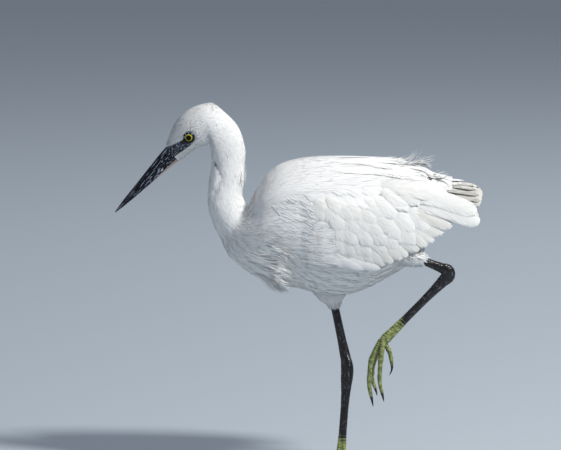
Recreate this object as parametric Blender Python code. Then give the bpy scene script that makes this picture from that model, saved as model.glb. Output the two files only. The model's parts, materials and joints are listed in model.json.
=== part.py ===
"""Little egret wading with its left leg raised, life size.

Metres, +Z up. The bird faces -X, its left side is -Y, and the sole of the standing right foot is at Z = 0.
The origin is under the middle of the bird's outline, on the floor.
"""

import math

import bmesh
import bpy
import numpy as np
from mathutils import Vector

MM = 0.001
GAP = 0.0003  # clearance between neighbouring pieces

# Driving dimensions of the bird, in metres.
TARSUS_LENGTH = 0.103
TIBIA_LENGTH = 0.141
EYE_RADIUS = 5.8 * MM
EYE_SINK = 3.9 * MM  # how deep the eye's centre lies under the head's surface
LID_RADIUS = 5.3 * MM
MIDDLE_TOE = 0.056
OUTER_TOE = 0.046
INNER_TOE = 0.042
HIND_TOE = 0.024
VANE_THICK = 0.7 * MM
WING_SINK = 4.0 * MM  # how deep the folded wing's bed lies

# Sections from the forehead to the rump, in millimetres: the back point (x, z), the front or belly
# point (x, z), half the width, and how far up the section its widest level lies.
BODY = np.array([
    (-137.5, 337.4, -123.4, 324.0, 7.6, 0.50),
    (-133.7, 348.5, -115.2, 329.8, 10.8, 0.50),
    (-126.5, 365.1, -104.9, 336.5, 13.6, 0.48),
    (-116.2, 376.0, -97.7, 339.1, 15.4, 0.48),
    (-102.1, 383.1, -91.5, 340.7, 16.0, 0.50),
    (-88.4, 383.8, -90.0, 332.9, 15.6, 0.50),
    (-74.5, 372.8, -89.5, 326.6, 14.6, 0.50),
    (-62.0, 357.5, -89.4, 322.5, 13.6, 0.50),
    (-55.7, 335.0, -89.6, 318.6, 13.0, 0.50),
    (-56.5, 317.3, -90.5, 312.1, 12.6, 0.50),
    (-56.0, 306.9, -92.2, 303.7, 12.8, 0.50),
    (-58.5, 293.3, -93.1, 290.3, 13.4, 0.50),
    (-58.3, 286.1, -92.9, 277.7, 14.6, 0.50),
    (-55.4, 280.2, -89.4, 262.1, 16.6, 0.50),
    (-50.3, 275.7, -81.2, 245.5, 19.0, 0.50),
    (-46.5, 281.9, -71.5, 231.5, 26.0, 0.50),
    (-39.5, 290.4, -58.6, 222.0, 34.0, 0.52),
    (-30.5, 304.2, -43.1, 213.6, 41.0, 0.54),
    (-17.0, 314.4, -23.5, 204.7, 45.5, 0.55),
    (1.2, 319.6, -1.9, 195.4, 48.0, 0.56),
    (21.8, 321.6, 21.8, 186.0, 48.5, 0.56),
    (42.4, 321.6, 42.4, 184.5, 47.5, 0.56),
    (68.1, 320.6, 68.1, 191.4, 44.0, 0.55),
    (99.1, 318.5, 99.1, 208.1, 38.0, 0.54),
    (124.8, 314.0, 124.8, 226.0, 30.0, 0.54),
    (147.0, 309.5, 147.0, 254.0, 19.0, 0.52),
]) * (MM, MM, MM, MM, MM, 1.0)
HEAD_END = 7
NECK_UPPER_END = 9
NECK_MIDDLE_END = 12
NECK_END = 14
TORSO_END = 24
BODY_SIDES = 24


def clear_scene():
    for obj in list(bpy.data.objects):
        bpy.data.objects.remove(obj, do_unlink=True)


def collection(name):
    found = bpy.data.collections.new(name)
    bpy.context.scene.collection.children.link(found)
    return found


clear_scene()
BIRD = collection("little_egret")


def material(name, colour, roughness, metallic=0.0):
    made = bpy.data.materials.new(name)
    made.use_nodes = True
    shader = made.node_tree.nodes["Principled BSDF"]
    shader.inputs["Base Color"].default_value = (*colour, 1.0)
    shader.inputs["Roughness"].default_value = roughness
    shader.inputs["Metallic"].default_value = metallic
    return made


PLUMAGE = (0.90, 0.91, 0.93)
LEG_BLACK = (0.025, 0.023, 0.026)
FOOT_GREEN = (0.36, 0.38, 0.08)
CLAW_BLACK = (0.02, 0.018, 0.018)
BILL_BLACK = (0.03, 0.032, 0.045)
IRIS_YELLOW = (0.75, 0.62, 0.08)


def finish(obj, colour, roughness):
    """Gives a finished piece its own material and smooth shading."""
    obj.data.materials.clear()
    obj.data.materials.append(material(obj.name, colour, roughness))
    obj.data.shade_smooth()
    obj.data.set_sharp_from_angle(angle=math.radians(40))
    return obj


def new_object(name, vertices, faces):
    mesh = bpy.data.meshes.new(name)
    mesh.from_pydata([tuple(v) for v in vertices], [], faces)
    shell = bmesh.new()
    shell.from_mesh(mesh)
    bmesh.ops.recalc_face_normals(shell, faces=shell.faces)
    shell.to_mesh(mesh)
    shell.free()
    obj = bpy.data.objects.new(name, mesh)
    BIRD.objects.link(obj)
    return obj


def loft(name, rings, turned=()):
    """A closed skin over rings of equal count. The strips in turned are split the other way."""
    count = len(rings[0])
    vertices = [p for ring in rings for p in ring]
    faces = []
    for i in range(len(rings) - 1):
        for k in range(count):
            a = i * count + k
            b = i * count + (k + 1) % count
            c = b + count
            d = a + count
            if k in turned:
                faces += [(a, b, d), (b, c, d)]
            else:
                faces += [(a, b, c), (a, c, d)]
    for ring, base in ((rings[0], 0), (rings[-1], (len(rings) - 1) * count)):
        if count == 4:
            faces += [(base, base + 1, base + 2), (base, base + 2, base + 3)]
            continue
        middle = len(vertices)
        vertices.append(np.mean(np.array(ring), axis=0))
        faces += [(base + k, base + (k + 1) % count, middle) for k in range(count)]
    return new_object(name, vertices, faces)


def applied(obj):
    """Replaces an object's mesh with the one that its modifiers make."""
    bpy.context.view_layer.update()
    graph = bpy.context.evaluated_depsgraph_get()
    mesh = bpy.data.meshes.new_from_object(obj.evaluated_get(graph))
    obj.modifiers.clear()
    obj.data = mesh
    return obj


def keep_largest(obj):
    """Keeps only the closed surface of a piece that holds the most."""
    mesh = bmesh.new()
    mesh.from_mesh(obj.data)
    unseen = set(mesh.faces)
    shells = []
    while unseen:
        shell = [unseen.pop()]
        for face in shell:
            for edge in face.edges:
                for other in edge.link_faces:
                    if other in unseen:
                        unseen.discard(other)
                        shell.append(other)
        volume = sum(f.calc_center_median().dot(f.normal) * f.calc_area() for f in shell)
        shells.append((volume, shell))
    shells.sort(key=lambda entry: entry[0])
    for _, shell in shells[:-1]:
        bmesh.ops.delete(mesh, geom=shell, context="FACES")
    mesh.to_mesh(obj.data)
    mesh.free()
    return obj


def merge_facets(obj):
    """Joins the slivers that a union leaves on flat facets, and splits the facets into triangles again."""
    mesh = bmesh.new()
    mesh.from_mesh(obj.data)
    bmesh.ops.dissolve_degenerate(mesh, dist=0.5e-6, edges=mesh.edges)
    bmesh.ops.dissolve_limit(mesh, angle_limit=math.radians(0.6), verts=mesh.verts, edges=mesh.edges)
    bmesh.ops.triangulate(mesh, faces=mesh.faces)
    mesh.to_mesh(obj.data)
    mesh.free()
    return obj


def carve(obj, cutters, solver="EXACT"):
    """Takes each cutter's shape out of a piece."""
    for cutter in cutters:
        cut = obj.modifiers.new("cut", "BOOLEAN")
        cut.operation = "DIFFERENCE"
        cut.object = cutter
        cut.solver = solver
        applied(obj)
    return keep_largest(obj)


def join(obj, pieces, solver="EXACT"):
    """Joins closed pieces to a node with one union, and removes them."""
    group = bpy.data.collections.new("pieces")
    bpy.context.scene.collection.children.link(group)
    for piece in pieces:
        BIRD.objects.unlink(piece)
        group.objects.link(piece)
    union = obj.modifiers.new("union", "BOOLEAN")
    union.operation = "UNION"
    union.operand_type = "COLLECTION"
    union.collection = group
    union.solver = solver
    applied(obj)
    for piece in pieces:
        bpy.data.objects.remove(piece, do_unlink=True)
    bpy.data.collections.remove(group)
    return keep_largest(obj)


def discard(*objects):
    for obj in objects:
        bpy.data.objects.remove(obj, do_unlink=True)


def section(place):
    """The body's section at a place along it, smoothly between the stated ones."""
    rows = BODY
    last = len(rows) - 1
    i = int(min(max(math.floor(place), 0), last - 1))
    t = place - i
    before = rows[max(i - 1, 0)]
    here = rows[i]
    following = rows[i + 1]
    after = rows[min(i + 2, last)]
    return here + 0.5 * t * (
        following - before
        + t * (2 * before - 5 * here + 4 * following - after + t * (3 * (here - following) + after - before))
    )


def surface_point(place, angle):
    """A point of the body's surface. Angle 0 is its right side, a quarter turn is its back."""
    x_back, z_back, x_belly, z_belly, half_width, widest = section(place)
    height = math.hypot(x_back - x_belly, z_back - z_belly)
    up_x = (x_back - x_belly) / height
    up_z = (z_back - z_belly) / height
    rise = height * (1 - widest) if math.sin(angle) > 0 else height * widest
    level = height * widest + rise * math.sin(angle)
    return np.array((x_belly + up_x * level, half_width * math.cos(angle), z_belly + up_z * level))


def body_point(place, angle, lift=0.0):
    """A point above the body's surface, or below it where lift is negative."""
    point = surface_point(place, angle)
    if lift == 0.0:
        return point
    ahead = surface_point(place + 0.02, angle) - surface_point(place - 0.02, angle)
    around = surface_point(place, angle + 0.01) - surface_point(place, angle - 0.01)
    normal = np.cross(around, ahead)
    return point + normal * (lift / np.linalg.norm(normal))


def body_ring(place, sides=BODY_SIDES):
    return [surface_point(place, 2 * math.pi * k / sides) for k in range(sides)]


def body_length(name, start, end, steps):
    """A length of the head, neck or torso, its ends drawn in by half the gap to its neighbours."""
    rings = [body_ring(start + (end - start) * i / steps) for i in range(steps + 1)]
    for edge, inner in ((0, 1), (-1, -2)):
        inward = np.mean(rings[inner], axis=0) - np.mean(rings[edge], axis=0)
        shift = inward / np.linalg.norm(inward) * GAP / 2
        rings[edge] = [p + shift for p in rings[edge]]
    return loft(name, rings)


def clearance(obj):
    """A cutter in the shape of a piece with the gap added all round."""
    cutter = obj.copy()
    cutter.name = obj.name + "_clearance"
    cutter.data = obj.data.copy()
    BIRD.objects.link(cutter)
    normals = [v.normal.copy() for v in cutter.data.vertices]
    for vertex, normal in zip(cutter.data.vertices, normals):
        vertex.co += normal * GAP * 1.15
    return cutter


def pad(name, stations):
    """A closed pad over part of the body's surface.

    Each station is (place, lowest angle, highest angle, depth of its middle, depth of its rim, sink).
    """
    rings = []
    across = 10
    for place, low, high, depth, rim, sink in stations:
        outer = []
        inner = []
        for k in range(across + 1):
            share = k / across
            angle = math.radians(low + (high - low) * share)
            swell = math.sin(math.pi * share) ** 0.6 if 0 < share < 1 else 0.0
            outer.append(body_point(place, angle, rim + (depth - rim) * swell))
            inner.append(body_point(place, angle, -sink))
        rings.append(outer + inner[::-1])
    return loft(name, rings)


VANE_FORM = ((0.0, 0.55), (0.35, 0.95), (0.72, 1.0), (0.93, 0.7), (1.0, 0.24))
COVERT_FORM = ((0.0, 0.6), (0.5, 1.0), (0.86, 0.84), (1.0, 0.3))
LOCK_FORM = ((0.0, 0.7), (0.3, 1.0), (0.6, 0.8), (0.85, 0.42), (1.0, 0.1))


def vane(surface, root, tip, half_width, lifts, tilt=0.0, bow=0.0, thick=0.8 * MM, form=VANE_FORM, grow=0.0):
    """A flat feather on a surface that is laid out in the plane.

    It runs from root to tip, bowed sideways by bow, at the heights that lifts gives evenly along it,
    with its left edge raised by tilt times the distance from its shaft, and larger all round by grow.
    """
    root = np.array(root)
    run = np.array(tip) - root
    length = np.linalg.norm(run)
    run = run / length
    across = np.array((-run[1], run[0]))
    rings = []
    for share, width in form:
        reach = length * share + (grow if share == 1.0 else -grow if share == 0.0 else 0.0)
        shaft = root + run * reach + across * bow * 4 * share * (1 - share)
        half = half_width * width + grow
        lift = np.interp(share, np.linspace(0, 1, len(lifts)), lifts)
        depth = thick * (1.0 - 0.25 * share) / 2 + grow
        left = shaft + across * half
        right = shaft - across * half
        raised = tilt * half
        rings.append([
            surface(*left, lift + raised + depth),
            surface(*right, lift - raised + depth),
            surface(*right, lift - raised - depth),
            surface(*left, lift + raised - depth),
        ])
    return loft("vane", rings, turned=(2,))


def oval(centre, along, half_side, half_up, sides, floor=None):
    """An oval ring across a direction, its lower side kept above the floor if one is given."""
    along = Vector(along).normalized()
    side = Vector((0, 1, 0)) if abs(along.y) < 0.9 else Vector((1, 0, 0))
    side = (side - along * side.dot(along)).normalized()
    up = side.cross(along)
    ring = []
    for k in range(sides):
        angle = 2 * math.pi * (k + 0.5) / sides
        p = Vector(centre) + side * (half_side * math.cos(angle)) + up * (half_up * math.sin(angle))
        if floor is not None:
            p.z = max(p.z, floor)
        ring.append(np.array(p))
    return ring


def limb(name, stations, sides=10, floor=None, ends=(None, None)):
    """A limb through (x, y, z, half width, half depth) stations, in metres."""
    path = np.array(stations)
    rings = []
    last = len(path) - 1
    for i, row in enumerate(path):
        along = path[min(i + 1, last), :3] - path[max(i - 1, 0), :3]
        if i == 0 and ends[0] is not None:
            along = ends[0]
        if i == last and ends[1] is not None:
            along = ends[1]
        rings.append(oval(row[:3], along, row[3], row[4], sides, floor))
    return loft(name, rings)


# Where the eye sits on the head: place along the body and angle, in degrees, round from its right side.
EYE_PLACE = (2.11, -6.5)
# The line of the mouth behind the bill, from its base to the gape, laid out the same way.
GAPE = ((-0.15, -4.5), (0.2, -5.6), (0.42, -7.5), (0.7, -10.5), (0.96, -14.0), (1.2, -18.5), (1.35, -22.0))


def head_point(place, degrees, side, lift):
    """A point over the head's surface on the right side (1) or the left side (-1)."""
    point = body_point(place, math.radians(degrees), lift)
    return np.array((point[0], side * point[1], point[2]))


def eye_axis(side):
    """The centre of an eye and the direction in which it looks."""
    centre = head_point(*EYE_PLACE, side, -EYE_SINK)
    outward = head_point(*EYE_PLACE, side, 0.0) - centre
    return Vector(centre), Vector(outward).normalized()


def adopt(obj, name):
    """Moves a primitive to the bird's collection."""
    obj.name = name
    for home in list(obj.users_collection):
        home.objects.unlink(obj)
    BIRD.objects.link(obj)
    return obj


def eyeball(name, side, radius):
    centre, outward = eye_axis(side)
    bpy.ops.mesh.primitive_uv_sphere_add(
        segments=14, ring_count=7, radius=radius, location=centre,
        rotation=outward.to_track_quat("Z", "Y").to_euler(),
    )
    return adopt(bpy.context.object, name)


def build_head():
    """The head with its lids and the line of the mouth."""
    head = body_length("head", 0, HEAD_END, 15)
    lids = []
    hollows = []
    for side in (-1, 1):
        centre, outward = eye_axis(side)
        bpy.ops.mesh.primitive_torus_add(
            major_radius=LID_RADIUS, minor_radius=1.2 * MM, major_segments=14, minor_segments=4,
            location=centre + outward * (EYE_SINK + 0.3 * MM),
            rotation=outward.to_track_quat("Z", "Y").to_euler(),
        )
        lids.append(adopt(bpy.context.object, "lid"))
        hollows.append(eyeball("socket", side, EYE_RADIUS + GAP))
        groove = [(*head_point(place, turn, side, 0.1 * MM), 0.45 * MM, 0.6 * MM) for place, turn in GAPE]
        hollows.append(limb("mouth_line", groove, sides=5))
    join(head, lids)
    carve(head, hollows)
    merge_facets(head)
    discard(*hollows)
    return finish(head, PLUMAGE, 0.8)


def build_eyes():
    for name, side in (("eye_left", -1), ("eye_right", 1)):
        finish(eyeball(name, side, EYE_RADIUS), IRIS_YELLOW, 0.15)


# The bill in side view, in millimetres from its base to its tip: culmen (x, z), mouth line (x, z),
# lower edge (x, z) and half the width.
BILL = np.array([
    (-137.6, 337.3, -129.9, 330.0, -123.5, 323.9, 6.8),
    (-144.5, 329.0, -139.2, 320.8, -134.3, 315.4, 5.2),
    (-152.5, 318.9, -148.6, 311.3, -144.6, 306.8, 4.2),
    (-162.0, 306.8, -159.2, 300.7, -156.0, 297.0, 3.3),
    (-172.0, 294.1, -170.2, 289.6, -168.0, 286.6, 2.4),
    (-181.5, 282.1, -180.5, 279.2, -179.4, 277.2, 1.5),
    (-189.6, 270.9, -189.4, 270.3, -189.0, 269.7, 0.5),
]) * MM


def build_bill():
    half_gap = GAP / 2
    uppers = []
    lowers = []
    for x_top, z_top, x_mouth, z_mouth, x_low, z_low, half in BILL:
        top = Vector((x_top, 0, z_top))
        mouth = Vector((x_mouth, 0, z_mouth))
        low = Vector((x_low, 0, z_low))
        up = (top - low).normalized()
        side = Vector((0, 1, 0))
        base = mouth + up * half_gap
        rise = top - base
        uppers.append([
            np.array(base + rise * h + side * half * w)
            for w, h in ((1.0, 0.0), (0.94, 0.38), (0.62, 0.78), (0.2, 0.98), (-0.2, 0.98),
                         (-0.62, 0.78), (-0.94, 0.38), (-1.0, 0.0))
        ])
        base = mouth - up * half_gap
        drop = low - base
        lowers.append([
            np.array(base + drop * h + side * half * w)
            for w, h in ((0.96, 0.0), (0.82, 0.45), (0.45, 0.88), (-0.45, 0.88), (-0.82, 0.45), (-0.96, 0.0))
        ])
    upper = loft("bill_upper", uppers)
    nostrils = []
    for side in (-1, 1):
        slit = limb("nostril", [
            (-141.5 * MM, side * 5.6 * MM, 327.6 * MM, 0.8 * MM, 0.4 * MM),
            (-144.5 * MM, side * 5.0 * MM, 324.6 * MM, 1.5 * MM, 0.75 * MM),
            (-148.5 * MM, side * 4.6 * MM, 320.0 * MM, 0.8 * MM, 0.4 * MM),
        ], sides=6)
        nostrils.append(slit)
    carve(upper, nostrils)
    discard(*nostrils)
    finish(upper, BILL_BLACK, 0.3)
    finish(loft("bill_lower", lowers), BILL_BLACK, 0.3)


def build_neck():
    finish(body_length("neck_upper", HEAD_END, NECK_UPPER_END, 5), PLUMAGE, 0.8)
    finish(body_length("neck_middle", NECK_UPPER_END, NECK_MIDDLE_END, 6), PLUMAGE, 0.8)
    finish(body_length("neck_lower", NECK_MIDDLE_END, NECK_END, 5), PLUMAGE, 0.8)


def build_torso():
    return finish(body_length("torso", NECK_END, TORSO_END, 22), PLUMAGE, 0.8)


# The saddle of back feathers: place along the body, the angle of its lower edges, depth.
MANTLE = [
    (14.7, 62, 1.5), (15.3, 40, 3.5), (16, 26, 4.5), (17, 18, 5.2), (18, 18, 5.6), (19, 20, 6.0),
    (20, 22, 6.2), (21, 23, 6.2), (22, 24, 6.0), (23, 28, 5.6), (23.5, 36, 5.2), (24, 46, 4.4),
    (24.35, 60, 3.0),
]
BODY_X = (BODY[:, 0] + BODY[:, 2]) / 2


def place_at(x):
    """The place along the body that lies at x, behind the shoulders."""
    start = 17
    return float(np.interp(x, BODY_X[start:], np.arange(start, len(BODY))))


def flank(side):
    """The body's flank laid out as (x, z)."""
    def point(x, z, lift):
        place = place_at(x)
        x_back, z_back, x_belly, z_belly, _, widest = section(place)
        height = z_back - z_belly
        rise = height * (1 - widest)
        share = min(max((z - z_belly - height * widest) / rise, -0.9), 0.97)
        angle = math.asin(share)
        return body_point(place, angle if side > 0 else math.pi - angle, lift)
    return point


def back(x, y, lift):
    """The body's back laid out as (x, y)."""
    place = place_at(x)
    half_width = section(place)[4]
    return body_point(place, math.acos(min(max(y / half_width, -0.98), 0.98)), lift)


# Scapular feathers: root (x, z) and tip (x, z) in millimetres, and half the width.
SCAPULARS = (
    ((4, 303), (25, 285), 8.4), ((17, 306), (50, 280), 9.0), ((35, 308), (74, 273), 9.4),
    ((54, 309), (95, 269), 9.6), ((72, 311), (112, 274), 9.2), ((88, 312), (127, 286), 8.4),
    ((100, 313), (140, 297), 7.4),
)
# Plumes of the back: root x, root y, tip x, tip y, half the width and how far the tip curls up.
BACK_PLUMES = (
    (62, 15, 137, 17, 4.2, 0.0), (70, 8, 131, 10, 3.2, 3.0), (56, 3, 128, 5, 3.2, 6.0),
    (64, -3, 134, -2, 3.2, 5.0), (58, -9, 127, -9, 3.2, 7.0), (70, -14, 137, -17, 4.2, 0.0),
)


def scapulars(side, grow=0.0):
    """The shoulder feathers of one side, which lap over the folded wing."""
    made = []
    for root, tip, half_width in SCAPULARS:
        made.append(vane(
            flank(side), np.array(root) * MM, np.array(tip) * MM, half_width * MM,
            np.array((3.4, 6.6, 7.4, 7.2, 6.6)) * MM, tilt=-0.11, bow=1.5 * MM, thick=VANE_THICK, grow=grow,
        ))
    return made


def back_plumes():
    made = []
    for x_root, y_root, x_tip, y_tip, half_width, curl in BACK_PLUMES:
        lifts = np.array((3.8, 6.6, 7.2, 6.8, 6.4 + curl)) * MM
        made.append(vane(
            back, (x_root * MM, y_root * MM), (x_tip * MM, y_tip * MM), half_width * MM, lifts,
            thick=1.1 * MM, form=LOCK_FORM,
        ))
    return made


def build_mantle(cutters):
    """The saddle with its feathers. Returns a cutter in the shape of the saddle alone."""
    stations = [(place, low, 180 - low, depth * MM, 2.0 * MM, 2.0 * MM) for place, low, depth in MANTLE]
    mantle = pad("mantle", stations)
    room = clearance(mantle)
    join(mantle, scapulars(-1) + scapulars(1) + back_plumes(), "MANIFOLD")
    merge_facets(mantle)
    carve(mantle, cutters, "MANIFOLD")
    finish(mantle, PLUMAGE, 0.8)
    return room


# The bib of breast feathers: place along the body, half its angle round the breast, depth.
BREAST = [
    (14.4, 40, 0.8), (15, 52, 3.6), (16, 60, 6.6), (17, 62, 8.6), (18, 56, 8.2), (18.6, 44, 5.6),
    (19.1, 26, 1.8),
]
BREAST_START = 14.6  # place along the body where the plumes begin
BREAST_STEP = 15.5 * MM  # distance down the breast between two sections
BREAST_TURN = 1.75 / MM  # degrees round the breast for each metre sideways


def bosom(reach, sideways, lift):
    """The breast laid out as (distance down from the neck's base, distance round from the middle)."""
    return body_point(BREAST_START + reach / BREAST_STEP, math.radians(-90 + sideways * BREAST_TURN), lift)


# Long plumes of the breast in millimetres: distance down to the root, distance round, length, droop.
BREAST_PLUMES = (
    (14, -9, 42, 1.0), (14, 9, 42, 1.0), (24, -23, 36, 0.5), (24, 23, 36, 0.5),
    (34, -6, 37, 3.0), (34, 6, 37, 3.0), (36, -17, 33, 2.0), (36, 17, 33, 2.0), (44, 0, 27, 5.0),
)


def build_breast(cutter):
    stations = [
        (place, -90 - half, -90 + half, depth * MM, 0.8 * MM, 2.0 * MM) for place, half, depth in BREAST
    ]
    breast = pad("breast", stations)
    plumes = []
    for root, around, length, droop in BREAST_PLUMES:
        lifts = np.array((2.5, 8.4, 10.0, 8.8, 6.2 + 0.6 * droop)) * MM
        plumes.append(vane(
            bosom, (root * MM, around * MM), ((root + length) * MM, around * 0.86 * MM), 4.0 * MM, lifts,
            thick=1.2 * MM, form=LOCK_FORM,
        ))
    join(breast, plumes, "MANIFOLD")
    merge_facets(breast)
    carve(breast, [cutter], "MANIFOLD")
    return finish(breast, PLUMAGE, 0.8)


# The folded wing in side view, in millimetres: x, lower edge, upper edge, thickness of the arm under
# the feathers, half the width of the body that it lies on.
WING = np.array([
    (5.0, 266.0, 284.0, 1.4, 48.0),
    (12.0, 254.0, 289.0, 3.4, 48.3),
    (24.0, 242.0, 290.0, 4.0, 48.5),
    (38.0, 232.0, 290.0, 4.0, 48.1),
    (54.0, 226.0, 289.0, 3.6, 46.8),
    (72.0, 224.0, 288.0, 3.2, 44.2),
    (90.0, 226.0, 288.0, 2.8, 41.0),
    (108.0, 232.0, 290.0, 2.4, 37.0),
    (124.0, 240.0, 291.0, 2.0, 33.0),
    (138.0, 247.5, 287.0, 1.6, 28.5),
    (150.0, 253.0, 280.0, 1.2, 25.0),
    (188.0, 256.0, 270.0, 1.0, 16.0),
]) * MM
ARM_STATIONS = 11
WING_MIDDLE = 265 * MM
WING_DROP = 82 * MM
WING_RISE = 70 * MM
# The lower edge that the feathers' tips reach, in millimetres.
WING_EDGE = np.array([
    (12.0, 246.0), (20.0, 236.0), (30.0, 228.0), (40.0, 222.5), (54.0, 218.5), (66.0, 217.0),
    (82.0, 217.5), (95.0, 220.5), (120.0, 230.0), (140.0, 240.5), (154.0, 250.0), (176.0, 256.0),
]) * MM


def wing_bed(side):
    """The bed of the folded wing laid out as (x, z)."""
    def point(x, z, lift):
        half = np.interp(x, WING[:, 0], WING[:, 4])
        reach = WING_DROP if z < WING_MIDDLE else WING_RISE
        bend = math.sqrt(max(1 - ((z - WING_MIDDLE) / reach) ** 2, 0.05))
        return np.array((x, side * (half * bend + lift), z))
    return point


# Rows of wing feathers, from the lowest layer up: how many, where the first and last tips lie along
# the wing, their height over the wing's edge, slope, length and half width at both ends of the row,
# and the height of the row over the wing's bed.
WING_ROWS = (
    (9, (38, 167), (0, 0), (66, 30), (40, 70), (9.8, 8.8), 2.9),
    (6, (50, 134), (9, 13), (62, 38), (32, 42), (9.6, 8.8), 4.4),
    (6, (36, 112), (26, 28), (60, 42), (26, 34), (8.8, 8.2), 5.8),
    (3, (24, 54), (30, 40), (52, 46), (20, 22), (7.8, 7.8), 6.6),
)
# The innermost flight feathers, which cover the folded wing's tip: root (x, z) and tip (x, z).
TERTIALS = (
    ((98, 278), (163, 250), 8.6, 4.6),
    ((98, 284), (187.5, 257.5), 9.6, 5.6),
    ((100, 288), (183, 270), 8.6, 6.6),
)
ROOT_LIFT = 0.6  # millimetres from the bed to the middle of a feather's root


def wing_feathers(side):
    """The feathers of one wing, row by row, and the tertials over the wing's tip."""
    bed = wing_bed(side)
    lean = -0.085
    made = []
    for count, tips, heights, slopes, lengths, halves, level in WING_ROWS:
        for i in range(count):
            share = i / (count - 1)
            x = (tips[0] + (tips[1] - tips[0]) * share) * MM
            height = (heights[0] + (heights[1] - heights[0]) * share) * MM
            z = np.interp(x, WING_EDGE[:, 0], WING_EDGE[:, 1]) + height
            slope = math.radians(slopes[0] + (slopes[1] - slopes[0]) * share)
            length = (lengths[0] + (lengths[1] - lengths[0]) * share) * MM
            root = (x - length * math.cos(slope), z + length * math.sin(slope))
            half = (halves[0] + (halves[1] - halves[0]) * share) * MM
            lifts = np.array((ROOT_LIFT, level, level + 0.3, level - 0.1, level - 0.7)) * MM
            made.append(vane(
                bed, root, (x, z), half, lifts, tilt=lean, bow=-2.0 * MM, thick=VANE_THICK, form=COVERT_FORM,
            ))
    for root, tip, half, level in TERTIALS:
        lifts = np.array((ROOT_LIFT, level, level + 0.2, level, level - 0.4)) * MM
        made.append(vane(
            bed, np.array(root) * MM, np.array(tip) * MM, half * MM, lifts, tilt=lean * 0.5, bow=-3.0 * MM,
            thick=VANE_THICK,
        ))
    return made


def build_wing(name, side, cutters):
    """The folded arm with its feathers in tiers, cut clear of its neighbours and of the scapulars over it."""
    bed = wing_bed(side)
    rings = []
    across = 7
    for x, low, high, thick, _ in WING[:ARM_STATIONS]:
        sink = max(WING_SINK * min(1.0, (150 * MM - x) / (40 * MM)), 0.0)
        outer = []
        inner = []
        for k in range(across + 1):
            share = k / across
            z = low + (high - low) * share
            swell = 0.3 + 0.7 * math.sin(math.pi * share) ** 0.5 if 0 < share < 1 else 0.3
            outer.append(bed(x, z, thick * swell))
            inner.append(bed(x, z, -sink))
        rings.append(outer + inner[::-1])
    wing = loft(name, rings)
    join(wing, wing_feathers(side), "MANIFOLD")
    merge_facets(wing)
    over = scapulars(side, GAP)
    carve(wing, cutters + over, "MANIFOLD")
    merge_facets(wing)
    discard(*over)
    return finish(wing, PLUMAGE, 0.8)


# The rump in millimetres: x, top, bottom, half the width.
RUMP = np.array([
    (133.0, 312.0, 242.0, 22.0),
    (141.0, 310.0, 258.0, 17.5),
    (149.0, 308.0, 272.0, 14.5),
    (157.0, 305.5, 284.0, 11.0),
]) * MM
RUMP_SIDES = 16
TAIL_FEATHERS = 12
TAIL_ROOT = np.array((132.0, 0.0, 289.0)) * MM
TAIL_SPREAD = 80.0  # degrees from the middle to the outermost feather, round the tail's arch


def tail_feather(turn, layer):
    """One tail feather, turned down round the arch of the folded tail, layer steps under the middle pair."""
    drop = abs(turn) / TAIL_SPREAD
    angle = math.radians(turn)
    length = (47.0 + 11.0 * math.sin(math.pi * drop) - 3.0 * drop) * MM
    slope = math.radians(4 + 14 * drop)
    way = Vector((math.cos(slope), 0.0, -math.sin(slope)))
    out = Vector((0.0, math.sin(angle), math.cos(angle)))
    across = Vector((0.0, math.cos(angle), -math.sin(angle)))
    rings = []
    for share, width in VANE_FORM:
        shrink = (0.7 * layer - 1.0 * share) * MM
        place = Vector((0.0, (12.5 * MM - shrink) * out.y, (17.0 * MM - shrink) * out.z))
        centre = Vector(TAIL_ROOT) + way * (length * share) + place
        half = 8.6 * MM * width * (0.75 + 0.25 * share)
        depth = 0.35 * MM
        rings.append([
            np.array(centre + across * half + out * depth),
            np.array(centre - across * half + out * depth),
            np.array(centre - across * half - out * depth),
            np.array(centre + across * half - out * depth),
        ])
    return loft("vane", rings, turned=(2,))


def build_tail():
    rings = [[p + (GAP / 2, 0, 0) for p in body_ring(TORSO_END, RUMP_SIDES)]]
    for x, top, bottom, half in RUMP:
        turns = [2 * math.pi * k / RUMP_SIDES for k in range(RUMP_SIDES)]
        middle = (top + bottom) / 2
        rise = (top - bottom) / 2
        rings.append([np.array((x, half * math.cos(t), middle + rise * math.sin(t))) for t in turns])
    tail = loft("tail", rings)
    feathers = []
    pairs = TAIL_FEATHERS // 2
    for i in range(pairs):
        for side in (-1, 1):
            turn = side * TAIL_SPREAD * (i + 0.5) / pairs
            feathers.append(tail_feather(turn, i * 1.2 + (0.6 if side > 0 else 0.0)))
    join(tail, feathers, "MANIFOLD")
    merge_facets(tail)
    return finish(tail, PLUMAGE, 0.8)


# Joints of the legs, in metres.
LEFT_HEEL = np.array((157.8, -16.0, 210.2)) * MM
LEFT_KNEE = LEFT_HEEL + TIBIA_LENGTH * np.array((-0.925, -0.06, 0.375))
LEFT_TOES = LEFT_HEEL + TARSUS_LENGTH * np.array((-0.699, 0.02, -0.715))
RIGHT_HEEL = np.array((50.6, 9.5, 106.8)) * MM
RIGHT_KNEE = RIGHT_HEEL + TIBIA_LENGTH * np.array((-0.208, 0.12, 0.971))
RIGHT_TOES = np.array((43.0, 5.0, 5.0)) * MM
HEEL_REACH = 10.5 * MM
HEEL_SECTIONS = 6


def toward(start, end, distance):
    direction = end - start
    return start + direction * (distance / np.linalg.norm(direction))


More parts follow.
